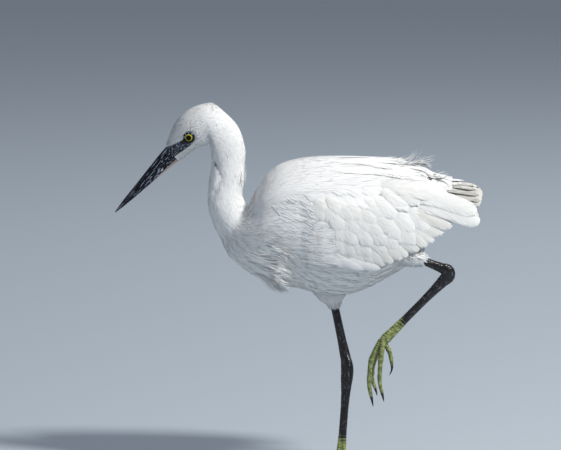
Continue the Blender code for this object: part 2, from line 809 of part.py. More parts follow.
def build_leg(side, knee, heel, toes, bare, thigh_stations, push, bulge, cutter):
    """Feathered thigh, bare shank and heel joint. Bare is the length above the heel without feathers."""
    up_leg = (knee - heel) / np.linalg.norm(knee - heel)
    down_leg = (toes - heel) / np.linalg.norm(toes - heel)
    thigh = limb(
        f"thigh_{side}",
        [
            (*(heel + up_leg * (bare + reach * MM)), wide * MM, deep * MM)
            for reach, wide, deep in thigh_stations
        ],
        sides=14,
    )
    carve(thigh, [cutter])
    finish(thigh, PLUMAGE, 0.8)

    shank = limb(
        f"shank_{side}",
        [
            (*(heel + up_leg * (bare - GAP)), 3.4 * MM, 4.5 * MM),
            (*(heel + up_leg * (HEEL_REACH + (bare - HEEL_REACH) * 0.5)), 3.3 * MM, 4.3 * MM),
            (*(heel + up_leg * (HEEL_REACH + 7 * MM)), 3.6 * MM, 4.7 * MM),
            (*(heel + up_leg * HEEL_REACH), 4.4 * MM, 5.6 * MM),
        ],
        ends=(-up_leg, -up_leg),
    )
    finish(shank, LEG_BLACK, 0.35)

    # The joint's sections turn about the inner corner of the bend.
    inward = (up_leg + down_leg) / np.linalg.norm(up_leg + down_leg)
    half_bend = math.acos(float(np.dot(up_leg, inward)))
    corner = heel + inward * (HEEL_REACH - GAP) / math.cos(half_bend)
    first = heel + up_leg * (HEEL_REACH - GAP) - corner
    last = heel + down_leg * (HEEL_REACH - GAP) - corner
    radius = np.linalg.norm(first)
    turn = math.acos(float(np.dot(first, last)) / radius ** 2)
    bend = []
    for i in range(HEEL_SECTIONS):
        share = i / (HEEL_SECTIONS - 1)
        swell = math.sin(math.pi * share)
        spoke = (first * math.sin(turn * (1 - share)) + last * math.sin(turn * share)) / math.sin(turn) / radius
        ahead = np.cross(spoke, np.cross(first, last))
        bend.append(oval(
            corner + spoke * (radius + push * MM * swell), -ahead,
            (4.4 + 0.3 * share + 0.7 * swell) * MM, (5.6 + 1.0 * share + bulge * swell) * MM, 10,
        ))
    finish(loft(f"heel_{side}", bend), LEG_BLACK, 0.35)


# Down the tarsus from the heel, in millimetres: distance, half width and half depth.
TARSUS_SIZES = (
    (10.5, 4.7, 6.6), (16, 3.9, 5.9), (27, 3.4, 4.9), (42, 3.0, 4.2), (68, 3.0, 4.2), (86, 3.7, 4.7),
    (98, 4.8, 4.7),
)


def build_tarsus(side, heel, toes, sole):
    """The tarsus down to the toes. The standing one ends in a flat sole on the floor."""
    down_leg = (toes - heel) / np.linalg.norm(toes - heel)
    stations = [(*(heel + down_leg * reach * MM), wide * MM, deep * MM) for reach, wide, deep in TARSUS_SIZES]
    end = down_leg
    if sole:
        stations.append((toes[0], toes[1], 2.5 * MM, 5.2 * MM, 5.0 * MM))
        stations.append((toes[0], toes[1], 0.0, 4.6 * MM, 4.4 * MM))
        end = np.array((0.0, 0.0, -1.0))
    else:
        stations.append((*(heel + down_leg * 102.5 * MM), 4.6 * MM, 4.2 * MM))
    return finish(limb(f"tarsus_{side}", stations, ends=(down_leg, end)), LEG_BLACK, 0.35)


# Along a toe: share of its length and of its thickness, swelling at the joints.
TOE_SIZES = (
    (0.0, 1.0), (0.3, 0.88), (0.37, 1.0), (0.44, 0.84), (0.63, 0.78), (0.69, 0.9), (0.75, 0.74), (1.0, 0.56),
)


def along_path(points, share):
    """The point at a share of the length of a path."""
    points = np.array(points)
    lengths = np.linalg.norm(np.diff(points, axis=0), axis=1)
    reach = np.concatenate(([0.0], np.cumsum(lengths)))
    return np.array([np.interp(share * reach[-1], reach, points[:, k]) for k in range(3)])


def build_toe(name, path, thick, claw_length, claw_turn, floor=None):
    """A jointed toe along a path of points, with its claw curving towards claw_turn."""
    stations = []
    for share, size in TOE_SIZES:
        stations.append((*along_path(path, share), thick * size, thick * size * 0.95))
    toe = limb("toe_" + name, stations, sides=8, floor=floor)
    finish(toe, FOOT_GREEN, 0.5)
    tip = np.array(path[-1])
    ahead = tip - np.array(path[-2])
    ahead = ahead / np.linalg.norm(ahead)
    claw = []
    for share, size in ((0.0, 1.0), (0.35, 0.9), (0.7, 0.6), (1.0, 0.14)):
        centre = tip + ahead * (GAP + claw_length * share) + np.array(claw_turn) * claw_length * share * share
        girth = thick * 0.5 * size
        claw.append((*centre, girth * 0.8, girth))
    finish(limb("claw_" + name, claw, sides=6, floor=floor, ends=(ahead, None)), CLAW_BLACK, 0.3)
    return toe


def build_standing_foot(tarsus):
    """Three toes forward and one back, flat on the floor."""
    toes = []
    for name, heading, length, thick in (
        ("middle", 180, MIDDLE_TOE, 3.3), ("outer", 142, OUTER_TOE, 3.2),
        ("inner", 216, INNER_TOE, 3.15), ("hind", 8, HIND_TOE, 3.1),
    ):
        turn = math.radians(heading)
        way = np.array((math.cos(turn), math.sin(turn), 0.0))
        base = np.array((RIGHT_TOES[0], RIGHT_TOES[1], 2.75 * MM))
        path = [
            base + way * 3 * MM,
            base + way * length * 0.5 - (0, 0, 0.1 * MM),
            base + way * length - (0, 0, 1.1 * MM),
        ]
        claw = 9 * MM if name != "hind" else 11 * MM
        toes.append(build_toe(name + "_right", path, thick * MM, claw, (0, 0, -0.02), floor=0.0))
    fit_toes(toes, tarsus)


# The raised foot in side view, in millimetres: where each toe runs, how far out from the leg it starts
# and ends, its thickness, the claw's length and turn.
RAISED_TOES = (
    ("middle", ((85, 139), (78.5, 127), (74.3, 115.5), (72.6, 93), (75, 79)), 0.0, -1.0, 3.6, 9, -0.35),
    ("outer", ((87, 139.5), (84.4, 119), (83.4, 97), (86, 84)), -2.6, -8.0, 3.4, 8, -0.35),
    ("inner", ((87, 139), (80.5, 123.5), (76.5, 110.5), (76, 97), (79, 87)), 3.2, 9.0, 3.4, 8, -0.35),
    ("hind", ((88, 137.5), (94, 125), (96.2, 112)), 1.0, 1.5, 3.2, 10, -0.45),
)


def build_raised_foot(tarsus):
    """The toes hang slack from the raised leg."""
    toes = []
    for name, points, near, far, thick, claw, turn in RAISED_TOES:
        share = np.linspace(0, 1, len(points))
        path = [
            np.array((x * MM, LEFT_TOES[1] + (near + (far - near) * s) * MM, z * MM))
            for (x, z), s in zip(points, share)
        ]
        toes.append(build_toe(name + "_left", path, thick * MM, claw * MM, (turn, 0, 0)))
    fit_toes(toes, tarsus)


def fit_toes(toes, tarsus):
    """Cuts the toes' roots back from the tarsus and from each other."""
    middle, outer, inner, hind = toes
    knuckle = clearance(tarsus)
    for toe in toes:
        carve(toe, [knuckle])
    root = clearance(middle)
    carve(outer, [root])
    carve(inner, [root])
    neighbour = clearance(outer)
    carve(inner, [neighbour])
    last = clearance(inner)
    carve(hind, [root, neighbour, last])
    discard(knuckle, root, neighbour, last)


# Up the thigh from where its feathers end, in millimetres: distance, half width and half depth.
LEFT_THIGH = (
    (0, 4.6, 5.2), (5, 6.2, 7.6), (14, 8.2, 10.5), (30, 10.5, 14.5), (55, 13.0, 19.0), (80, 14.0, 22.0),
)
RIGHT_THIGH = (
    (0, 5.0, 6.4), (2, 7.2, 9.2), (6, 9.6, 12.6), (13, 12.4, 17.0), (24, 14.5, 21.0), (42, 15.5, 23.0),
)


def main():
    build_head()
    build_eyes()
    build_bill()
    build_neck()
    torso = build_torso()
    torso_room = clearance(torso)
    tail_room = clearance(build_tail())
    mantle_room = build_mantle([torso_room, tail_room])
    build_breast(torso_room)
    build_leg("left", LEFT_KNEE, LEFT_HEEL, LEFT_TOES, 33 * MM, LEFT_THIGH, 1.6, 1.5, torso_room)
    build_leg("right", RIGHT_KNEE, RIGHT_HEEL, RIGHT_TOES, 69 * MM, RIGHT_THIGH, 0.2, 0.7, torso_room)
    thigh_room = clearance(bpy.data.objects["thigh_left"])
    for name, side in (("wing_left", -1), ("wing_right", 1)):
        build_wing(name, side, [torso_room, mantle_room, tail_room, thigh_room])
    build_raised_foot(build_tarsus("left", LEFT_HEEL, LEFT_TOES, sole=False))
    build_standing_foot(build_tarsus("right", RIGHT_HEEL, RIGHT_TOES, sole=True))
    discard(torso_room, mantle_room, tail_room, thigh_room)


main()
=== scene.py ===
import json
import math

import bmesh
import bpy
import numpy as np
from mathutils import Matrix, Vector

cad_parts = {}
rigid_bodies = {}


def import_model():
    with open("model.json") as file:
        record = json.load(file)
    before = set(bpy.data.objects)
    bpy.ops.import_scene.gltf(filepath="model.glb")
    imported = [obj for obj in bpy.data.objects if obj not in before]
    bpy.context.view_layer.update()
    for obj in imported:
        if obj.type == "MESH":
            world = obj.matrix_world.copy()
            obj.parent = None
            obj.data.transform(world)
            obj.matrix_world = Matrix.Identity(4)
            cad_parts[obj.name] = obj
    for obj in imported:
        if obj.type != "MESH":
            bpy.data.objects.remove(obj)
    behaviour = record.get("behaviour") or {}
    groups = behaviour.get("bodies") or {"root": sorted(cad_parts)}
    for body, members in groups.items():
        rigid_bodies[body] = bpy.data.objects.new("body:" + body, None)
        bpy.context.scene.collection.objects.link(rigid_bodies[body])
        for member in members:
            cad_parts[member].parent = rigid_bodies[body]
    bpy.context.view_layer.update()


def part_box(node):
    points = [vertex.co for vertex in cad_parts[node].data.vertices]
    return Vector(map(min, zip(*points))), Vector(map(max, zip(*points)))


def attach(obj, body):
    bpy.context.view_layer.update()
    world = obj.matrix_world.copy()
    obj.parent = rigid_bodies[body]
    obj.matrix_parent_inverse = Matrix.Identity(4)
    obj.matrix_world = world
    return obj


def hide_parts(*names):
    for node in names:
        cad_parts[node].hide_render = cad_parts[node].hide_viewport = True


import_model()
MM = 0.001


# Stage: a plain pale floor, soft light from high on the right, a cool fill, and the camera at the
# photo's angle. The bird is seen from its left side, a little from above, through a long lens.
def plain_material(name, colour, roughness):
    made = bpy.data.materials.new(name)
    made.use_nodes = True
    shader = made.node_tree.nodes["Principled BSDF"]
    shader.inputs["Base Color"].default_value = (*colour, 1.0)
    shader.inputs["Roughness"].default_value = roughness
    return made


def mesh_object(name, mesh, material):
    made = bpy.data.objects.new(name, mesh)
    bpy.context.scene.collection.objects.link(made)
    if material is not None:
        mesh.materials.append(material)
    return made


FLOOR_HALF = 15.0
floor_mesh = bpy.data.meshes.new("floor")
floor_mesh.from_pydata(
    [(x * FLOOR_HALF, y * FLOOR_HALF, 0.0) for x, y in ((-1, -1), (1, -1), (1, 1), (-1, 1))], [], [(0, 1, 2, 3)],
)
floor = mesh_object("floor", floor_mesh, plain_material("floor_paint", (0.44, 0.495, 0.54), 0.9))

CAMERA_ELEVATION = math.radians(8)
CAMERA_DISTANCE = 8.0
CAMERA_TARGET = Vector((-18.9, 0.0, 256.9)) * MM
camera_data = bpy.data.cameras.new("camera")
camera_data.lens = 498
camera_data.sensor_width = 36
camera_data.clip_end = 60
camera = bpy.data.objects.new("camera", camera_data)
bpy.context.scene.collection.objects.link(camera)
toward_camera = Vector((0.0, -math.cos(CAMERA_ELEVATION), math.sin(CAMERA_ELEVATION)))
camera.location = CAMERA_TARGET + toward_camera * CAMERA_DISTANCE
camera.rotation_euler = toward_camera.to_track_quat("Z", "Y").to_euler()
bpy.context.scene.camera = camera


def soft_light(name, direction, distance, size, power, colour):
    lamp = bpy.data.lights.new(name, "AREA")
    lamp.shape = "DISK"
    lamp.size = size
    lamp.energy = power
    lamp.color = colour
    made = bpy.data.objects.new(name, lamp)
    bpy.context.scene.collection.objects.link(made)
    way = Vector(direction).normalized()
    made.location = Vector((0.0, 0.0, 0.25)) + way * distance
    made.rotation_euler = way.to_track_quat("Z", "Y").to_euler()


soft_light("key", (0.80, -0.62, 0.95), 3.2, 0.5, 104, (1.0, 0.985, 0.955))
soft_light("fill", (-0.9, -0.8, 0.1), 3.5, 2.2, 7, (0.72, 0.85, 1.0))
soft_light("rim", (0.3, 0.9, 0.8), 3.0, 1.2, 20, (0.95, 0.97, 1.0))
world = bpy.data.worlds.new("studio")
world.use_nodes = True
world.node_tree.nodes["Background"].inputs["Color"].default_value = (0.78, 0.85, 1.0, 1.0)
world.node_tree.nodes["Background"].inputs["Strength"].default_value = 0.30
bpy.context.scene.world = world
bpy.context.scene.view_settings.view_transform = "Standard"


# Skin: one seamless skin from the forehead to the rump, inside the coat. Feathers hide it except at
# the lores, the bare blue-black skin between the bill and the eye, which ends in the gape.
# Sections in millimetres: back point (x, z), belly point (x, z), half the width, level of the widest part.
BODY = np.array([
    (-137.5, 337.4, -123.4, 324.0, 7.6, 0.50), (-133.7, 348.5, -115.2, 329.8, 10.8, 0.50),
    (-126.5, 365.1, -104.9, 336.5, 13.6, 0.48), (-116.2, 376.0, -97.7, 339.1, 15.4, 0.48),
    (-102.1, 383.1, -91.5, 340.7, 16.0, 0.50), (-88.4, 383.8, -90.0, 332.9, 15.6, 0.50),
    (-74.5, 372.8, -89.5, 326.6, 14.6, 0.50), (-62.0, 357.5, -89.4, 322.5, 13.6, 0.50),
    (-55.7, 335.0, -89.6, 318.6, 13.0, 0.50), (-56.5, 317.3, -90.5, 312.1, 12.6, 0.50),
    (-56.0, 306.9, -92.2, 303.7, 12.8, 0.50), (-58.5, 293.3, -93.1, 290.3, 13.4, 0.50),
    (-58.3, 286.1, -92.9, 277.7, 14.6, 0.50), (-55.4, 280.2, -89.4, 262.1, 16.6, 0.50),
    (-50.3, 275.7, -81.2, 245.5, 19.0, 0.50), (-46.5, 281.9, -71.5, 231.5, 26.0, 0.50),
    (-39.5, 290.4, -58.6, 222.0, 34.0, 0.52), (-30.5, 304.2, -43.1, 213.6, 41.0, 0.54),
    (-17.0, 314.4, -23.5, 204.7, 45.5, 0.55), (1.2, 319.6, -1.9, 195.4, 48.0, 0.56),
    (21.8, 321.6, 21.8, 186.0, 48.5, 0.56), (42.4, 321.6, 42.4, 184.5, 47.5, 0.56),
    (68.1, 320.6, 68.1, 191.4, 44.0, 0.55), (99.1, 318.5, 99.1, 208.1, 38.0, 0.54),
    (124.8, 314.0, 124.8, 226.0, 30.0, 0.54), (133.0, 312.0, 133.0, 242.0, 22.0, 0.5),
    (141.0, 310.0, 141.0, 258.0, 17.5, 0.5), (149.0, 308.0, 149.0, 272.0, 14.5, 0.5),
    (157.0, 305.0, 157.0, 284.0, 10.0, 0.5),
]) * (MM, MM, MM, MM, MM, 1.0)
LAST_SECTION = len(BODY) - 1
# Where the coat of the back lies deeper: place along the body, its lower edge in degrees, its depth in mm.
SADDLE = np.array([
    (14.4, 66, 0), (15.3, 40, 3.5), (16, 26, 4.5), (17, 18, 5.2), (18, 18, 5.6), (20, 20, 6.2), (22, 24, 6.0),
    (23, 28, 5.4), (24, 40, 4.2), (25, 60, 2.0), (26, 80, 0),
])
# Where the breast's plumes lie deeper: place, half the angle round the breast, depth in mm.
BIB = np.array([
    (14.2, 30, 0), (15, 52, 2.9), (16, 60, 5.7), (17, 62, 7.5), (18, 56, 7.0), (18.6, 46, 4.8), (19.2, 34, 1.6), (19.9, 26, 0),
])

# Where the neck's feathers part: place, degrees from the throat line, depth in mm.
PARTING = np.array([
    (6.8, 22, 0), (7.4, 30, 1.5), (8.2, 44, 1.1), (9.0, 60, 0.8), (9.6, 72, 1.3), (10.2, 66, 0.9), (10.9, 52, 1.1), (11.8, 40, 0),
])


def body_section(place):
    """The body's sections at places along it, smoothly between the stated ones."""
    i = np.clip(np.floor(place).astype(int), 0, LAST_SECTION - 1)
    t = (place - i)[..., None]
    before = BODY[np.maximum(i - 1, 0)]
    here = BODY[i]
    ahead = BODY[i + 1]
    after = BODY[np.minimum(i + 2, LAST_SECTION)]
    return here + 0.5 * t * (
        ahead - before
        + t * (2 * before - 5 * here + 4 * ahead - after + t * (3 * (here - ahead) + after - before))
    )


def body_surface(place, turn):
    """Points of the bare body. Turn 0 is the bird's right side, a quarter turn is its back."""
    rows = body_section(place)
    back = rows[..., 0:2]
    belly = rows[..., 2:4]
    span = back - belly
    height = np.linalg.norm(span, axis=-1)
    widest = rows[..., 5]
    rise = np.where(np.sin(turn) > 0, height * (1 - widest), height * widest)
    level = height * widest + rise * np.sin(turn)
    up = span / height[..., None]
    x = belly[..., 0] + up[..., 0] * level
    z = belly[..., 1] + up[..., 1] * level
    return np.stack((x, rows[..., 4] * np.cos(turn), z), axis=-1)


def smooth_step(value):
    value = np.clip(value, 0.0, 1.0)
    return value * value * (3 - 2 * value)


def coat_height(place, turn):
    """How far the plumage stands out from the body at its deeper parts."""
    degrees = np.degrees(np.mod(turn, 2 * math.pi))
    from_back = np.abs(degrees - 90)
    from_back = np.minimum(from_back, 360 - from_back)
    edge = 90 - np.interp(place, SADDLE[:, 0], SADDLE[:, 1])
    saddle = np.interp(place, SADDLE[:, 0], SADDLE[:, 2]) * smooth_step((edge + 8 - from_back) / 26)
    from_belly = 180 - from_back
    bib = np.interp(place, BIB[:, 0], BIB[:, 2]) * smooth_step(
        (np.interp(place, BIB[:, 0], BIB[:, 1]) + 6 - from_belly) / 30
    )
    crown = 1.7 * np.exp(-((place - 4.2) / 2.0) ** 2) * smooth_step((80 - from_back) / 60)
    parting = np.interp(place, PARTING[:, 0], PARTING[:, 1]) + 3 * np.sin(place * 11)
    furrow = np.interp(place, PARTING[:, 0], PARTING[:, 2]) * np.exp(-((from_belly - parting) / 13) ** 2)
    return (saddle + bib - crown - furrow) * MM


def unit(vectors):
    return vectors / np.maximum(np.linalg.norm(vectors, axis=-1, keepdims=True), 1e-12)


def body_bed(place, turn, lift):
    """Points over the plumage's smooth outer form."""
    place = np.clip(place, 0.0, LAST_SECTION - 0.001)
    ahead = body_surface(np.minimum(place + 0.02, LAST_SECTION), turn) - body_surface(np.maximum(place - 0.02, 0), turn)
    around = body_surface(place, turn + 0.01) - body_surface(place, turn - 0.01)
    normal = unit(np.cross(around, ahead))
    return body_surface(place, turn) + normal * (coat_height(place, turn) + lift)[..., None]


# Bare skin of the face in side view, in millimetres (x, z).
LORES = np.array([
    (-141.0, 336.5), (-132.7, 340.2), (-124.0, 344.6), (-117.0, 348.5), (-108.6, 345.2), (-111.5, 341.4),
    (-117.0, 336.6), (-124.5, 331.4), (-131.5, 325.6), (-137.5, 320.0),
]) * MM


def inside_outline(x, z, outline):
    """How far points lie inside an outline in side view; negative outside it."""
    nearest = np.full(x.shape, 1e9)
    inside = np.zeros(x.shape, bool)
    for (x1, z1), (x2, z2) in zip(outline, np.roll(outline, -1, axis=0)):
        run = (x2 - x1) ** 2 + (z2 - z1) ** 2
        share = np.clip(((x - x1) * (x2 - x1) + (z - z1) * (z2 - z1)) / run, 0, 1)
        nearest = np.minimum(nearest, np.hypot(x - x1 - share * (x2 - x1), z - z1 - share * (z2 - z1)))
        crosses = ((z1 > z) != (z2 > z)) & (x < (x2 - x1) * (z - z1) / (z2 - z1 + 1e-12) + x1)
        inside ^= crosses
    return np.where(inside, nearest, -nearest)


def mesh_from_grid(name, points, material, close_rows=False):
    """A mesh over a grid of points that runs round in its second direction, capped at both ends."""
    rows, sides = points.shape[:2]
    count = rows * sides
    k = np.arange(sides)
    i = np.arange(rows - 1)[:, None]
    a = i * sides + k
    b = i * sides + (k + 1) % sides
    quads = np.stack((a, b, b + sides, a + sides), axis=-1).reshape(-1, 4)
    faces = quads.tolist()
    faces.append(list(range(sides))[::-1])
    faces.append(list(range(count - sides, count)))
    mesh = bpy.data.meshes.new(name)
    mesh.from_pydata(points.reshape(-1, 3).tolist(), [], faces)
    shell = bmesh.new()
    shell.from_mesh(mesh)
    bmesh.ops.recalc_face_normals(shell, faces=shell.faces)
    shell.to_mesh(mesh)
    shell.free()
    mesh.shade_smooth()
    return mesh_object(name, mesh, material)


def bake_map(mesh, corners):
    """Stores the map that the finish is baked on: one place for each vertex."""
    layer = mesh.uv_layers.new(name="OFBake")
    loops = np.empty(len(mesh.loops), int)
    mesh.loops.foreach_get("vertex_index", loops)
    layer.uv.foreach_set("vector", np.ascontiguousarray(corners[loops], np.float32).ravel())


def add_attribute(mesh, name, values):
    made = mesh.attributes.new(name, "FLOAT", "POINT")
    made.data.foreach_set("value", np.ascontiguousarray(values, np.float32))


def node_link(tree, source, target):
    tree.links.new(source, target)


SKIN_ROWS = 420
SKIN_SIDES = 112
SKIN_DEPTH = np.array([(0, 0.25), (1.5, 0.5), (4, 1.0), (8, 1.5), (14, 2.2), (18, 3.0), (28, 3.0)])
lengths = np.linalg.norm(np.diff(BODY[:, 0:2], axis=0), axis=1) + np.linalg.norm(np.diff(BODY[:, 2:4], axis=0), axis=1)
travel = np.concatenate(([0], np.cumsum(lengths)))
skin_place = np.interp(np.linspace(0, travel[-1], SKIN_ROWS), travel, np.arange(LAST_SECTION + 1))
skin_place, skin_turn = np.meshgrid(skin_place, np.arange(SKIN_SIDES) * 2 * math.pi / SKIN_SIDES, indexing="ij")
skin_depth = np.interp(skin_place, SKIN_DEPTH[:, 0], SKIN_DEPTH[:, 1]) * MM
skin_points = body_bed(skin_place, skin_turn, -skin_depth)
lores_depth = inside_outline(skin_points[..., 0], skin_points[..., 2], LORES)


def skin_material():
    """White down over most of the body, and bare, faintly wrinkled skin where the bare attribute says so: black, with
    pale blue streaks that are painted highlights.
    """
    made = bpy.data.materials.new("skin")
    made.use_nodes = True
    tree = made.node_tree
    shader = tree.nodes["Principled BSDF"]
    bare = tree.nodes.new("ShaderNodeAttribute")
    bare.attribute_name = "bare"
    place = tree.nodes.new("ShaderNodeTexCoord")
    turned = tree.nodes.new("ShaderNodeMapping")
    turned.vector_type = "TEXTURE"
    turned.inputs["Rotation"].default_value = (0, math.radians(-38), 0)
    turned.inputs["Scale"].default_value = (3.0, 1.0, 1.0)
    node_link(tree, place.outputs["Object"], turned.inputs["Vector"])
    painted_highlight_streaks = tree.nodes.new("ShaderNodeTexNoise")
    painted_highlight_streaks.inputs["Scale"].default_value = 1000
    painted_highlight_streaks.inputs["Detail"].default_value = 3
    node_link(tree, turned.outputs["Vector"], painted_highlight_streaks.inputs["Vector"])
    # The pale blue end of this ramp paints highlights on the bare skin.
    ramp = tree.nodes.new("ShaderNodeValToRGB")
    ramp.color_ramp.elements[0].position = 0.52
    ramp.color_ramp.elements[0].color = (0.004, 0.005, 0.009, 1)
    ramp.color_ramp.elements[1].position = 0.68
    ramp.color_ramp.elements[1].color = (0.34, 0.42, 0.55, 1)
    node_link(tree, painted_highlight_streaks.outputs["Fac"], ramp.inputs["Fac"])
    mixed = tree.nodes.new("ShaderNodeMix")
    mixed.data_type = "RGBA"
    mixed.inputs["A"].default_value = (0.84, 0.85, 0.86, 1)
    node_link(tree, bare.outputs["Fac"], mixed.inputs["Factor"])
    node_link(tree, ramp.outputs["Color"], mixed.inputs["B"])
    node_link(tree, mixed.outputs["Result"], shader.inputs["Base Color"])
    shader.inputs["Roughness"].default_value = 0.5
    bump = tree.nodes.new("ShaderNodeBump")
    bump.inputs["Strength"].default_value = 0.5
    bump.inputs["Distance"].default_value = 0.0004
    node_link(tree, painted_highlight_streaks.outputs["Fac"], bump.inputs["Height"])
    node_link(tree, bump.outputs["Normal"], shader.inputs["Normal"])
    return made


LEFT_HEEL = np.array((157.8, -16.0, 210.2)) * MM
RIGHT_HEEL = np.array((50.6, 9.5, 106.8)) * MM
LEFT_UP = unit(np.array((-0.925, -0.06, 0.375)))
RIGHT_UP = unit(np.array((-0.208, 0.12, 0.971)))
# Name, heel, way up the shank, length of the bare shank, sizes: distance up, half width, half depth.
THIGHS = (
    ("left", LEFT_HEEL, LEFT_UP, 33 * MM, np.array([
        (-6, 3.4, 4.2), (0, 4.6, 5.2), (5, 6.2, 7.6), (14, 8.2, 10.5), (30, 10.5, 14.5), (55, 13, 19), (80, 14, 22),
    ]) * MM),
    ("right", RIGHT_HEEL, RIGHT_UP, 69 * MM, np.array([
        (-6, 3.4, 4.2), (0, 5, 6.4), (2, 7.2, 9.2), (6, 9.6, 12.6), (13, 12.4, 17), (24, 14.5, 21), (42, 15.5, 23),
    ]) * MM),
)


def thigh_bed(heel, up, bare, sizes):
    """Points on the thigh by distance above its bare end and turn round it."""
    front = unit(np.cross(np.array((0.0, 1.0, 0.0)), up))
    aside = unit(np.cross(up, front))

    def bed(distance, turn, lift):
        wide = np.interp(distance, sizes[:, 0], sizes[:, 1])[..., None]
        deep = np.interp(distance, sizes[:, 0], sizes[:, 2])[..., None]
        centre = heel + up * (bare + distance)[..., None]
        ring = aside * (wide * np.cos(turn)[..., None]) + front * (deep * np.sin(turn)[..., None])
        out = unit(aside * (deep * np.cos(turn)[..., None]) + front * (wide * np.sin(turn)[..., None]))
        return centre + ring + out * lift[..., None]

    return bed


skin = mesh_from_grid("skin", skin_points, skin_material())
add_attribute(skin.data, "bare", smooth_step(lores_depth.ravel() / (0.5 * MM) + 0.5))
bake_map(skin.data, np.stack((
    skin_turn.ravel() / (2 * math.pi) * 0.98 + 0.01, skin_place.ravel() / LAST_SECTION * 0.98 + 0.01,
), axis=-1))
for name, heel, up, bare, sizes in THIGHS:
    distance = np.linspace(-2 * MM, sizes[-1, 0], 60)
    distance, turn = np.meshgrid(distance, np.arange(48) * 2 * math.pi / 48, indexing="ij")
    inset = np.clip((distance + 2 * MM) * 0.5, 0, 1.6 * MM)
    points = thigh_bed(heel, up, bare, sizes)(distance, turn, -inset - 0.3 * MM)
    thigh = mesh_from_grid("thigh_" + name + "_skin", points, skin.data.materials[0])
    add_attribute(thigh.data, "bare", np.zeros(turn.size))
    bake_map(thigh.data, np.stack((
        0.3 + 0.1 * turn.ravel() / (2 * math.pi), 0.6 + 0.1 * distance.ravel() / sizes[-1, 0],
    ), axis=-1))
    union = skin.modifiers.new("thigh_" + name, "BOOLEAN")
    union.operation = "UNION"
    union.solver = "MANIFOLD"
    union.object = thigh
bpy.context.view_layer.update()
joined = bpy.data.meshes.new_from_object(skin.evaluated_get(bpy.context.evaluated_depsgraph_get()))
skin.modifiers.clear()
skin.data = joined
for name, heel, up, bare, sizes in THIGHS:
    bpy.data.objects.remove(bpy.data.objects["thigh_" + name + "_skin"])
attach(skin, "root")
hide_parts("head", "neck_upper", "neck_middle", "neck_lower", "torso", "thigh_left", "thigh_right")


# Short feathers: white, hair-like locks that lie back over the head, neck, breast and belly. Each is
# one thin solid lock with a ridge, rooted under the skin, and they overlap like the real barbs.
def plumage_material(name, light, dark, roughness=0.62):
    """White feather: each lock has its own tone, and painted shade makes it a little darker towards its root, where it
    lies under its neighbours.
    """
    made = bpy.data.materials.new(name)
    made.use_nodes = True
    tree = made.node_tree
    shader = tree.nodes["Principled BSDF"]
    tone = tree.nodes.new("ShaderNodeAttribute")
    tone.attribute_name = "tone"
    ramp = tree.nodes.new("ShaderNodeValToRGB")
    ramp.color_ramp.elements[0].color = (*dark, 1)
    ramp.color_ramp.elements[1].color = (*light, 1)
    node_link(tree, tone.outputs["Fac"], ramp.inputs["Fac"])
    node_link(tree, ramp.outputs["Color"], shader.inputs["Base Color"])
    shader.inputs["Roughness"].default_value = roughness
    shader.inputs["Specular IOR Level"].default_value = 0.25
    place = tree.nodes.new("ShaderNodeTexCoord")
    down = tree.nodes.new("ShaderNodeTexNoise")
    down.inputs["Scale"].default_value = 1400
    down.inputs["Detail"].default_value = 2
    node_link(tree, place.outputs["Object"], down.inputs["Vector"])
    bump = tree.nodes.new("ShaderNodeBump")
    bump.inputs["Strength"].default_value = 0.25
    bump.inputs["Distance"].default_value = 0.0001
    node_link(tree, down.outputs["Fac"], bump.inputs["Height"])
    node_link(tree, bump.outputs["Normal"], shader.inputs["Normal"])
    return made


white_plumage = plumage_material("white_plumage", (0.90, 0.897, 0.885), (0.79, 0.79, 0.78))


def lay_out(bed, u, v, heading, length, shares, bend):
    """Paths on a bed from roots (u, v): each starts along heading and turns by bend on its way."""
    u = np.array(u, float)
    v = np.array(v, float)
    step = 1e-3
    us, vs, ways, scales = [], [], [], []
    for j, share in enumerate(shares):
        here = bed(u, v, np.zeros_like(u))
        per_u = np.linalg.norm(bed(u + step, v, np.zeros_like(u)) - here, axis=-1) / step
        per_v = np.linalg.norm(bed(u, v + step, np.zeros_like(u)) - here, axis=-1) / step
        way = heading + bend * share
        us.append(u.copy())
        vs.append(v.copy())
        ways.append(way)
        scales.append((per_u, per_v))
        if j + 1 < len(shares):
            reach = length * (shares[j + 1] - share)
            u = u + np.clip(reach * np.cos(way) / np.maximum(per_u, MM), -0.8, 0.8)
            v = v + np.clip(reach * np.sin(way) / np.maximum(per_v, MM), -0.5, 0.5)
    return us, vs, ways, scales


def grow(bed, u, v, heading, length, half_width, form, lifts, across, thick, bend=0.0, camber=0.0, tilt=0.0):
    """Sections of locks or vanes on a bed, as an array of (lock, station, point, 3).

    form has the shares of the length and of the width; lifts the heights over the bed at those shares.
    across has the places over the width, from one edge (-1) to the other (1).
    """
    count = len(u)
    bend = np.broadcast_to(bend, count)
    shares = [share for share, _ in form]
    us, vs, ways, scales = lay_out(bed, u, v, heading, length, shares, bend)
    sections = []
    for j, (share, width) in enumerate(form):
        per_u, per_v = scales[j]
        upper = []
        lower = []
        for k in across:
            aside = half_width * width * k
            du = -aside * np.sin(ways[j]) / np.maximum(per_u, MM)
            dv = aside * np.cos(ways[j]) / np.maximum(per_v, MM)
            lift = lifts[:, j] + camber * (1 - k * k) * half_width * width + tilt * aside
            depth = thick * (1 - 0.55 * share) * (1 - abs(k) ** 1.5) + 0.00004
            upper.append(bed(us[j] + du, vs[j] + dv, lift + depth / 2))
            lower.append(bed(us[j] + du, vs[j] + dv, lift - depth / 2))
        if len(across) == 3:
            ring = [upper[0], upper[1], upper[2]]
        else:
            ring = upper + lower[-2:0:-1]
        sections.append(np.stack(ring, axis=1))
    return np.stack(sections, axis=1)


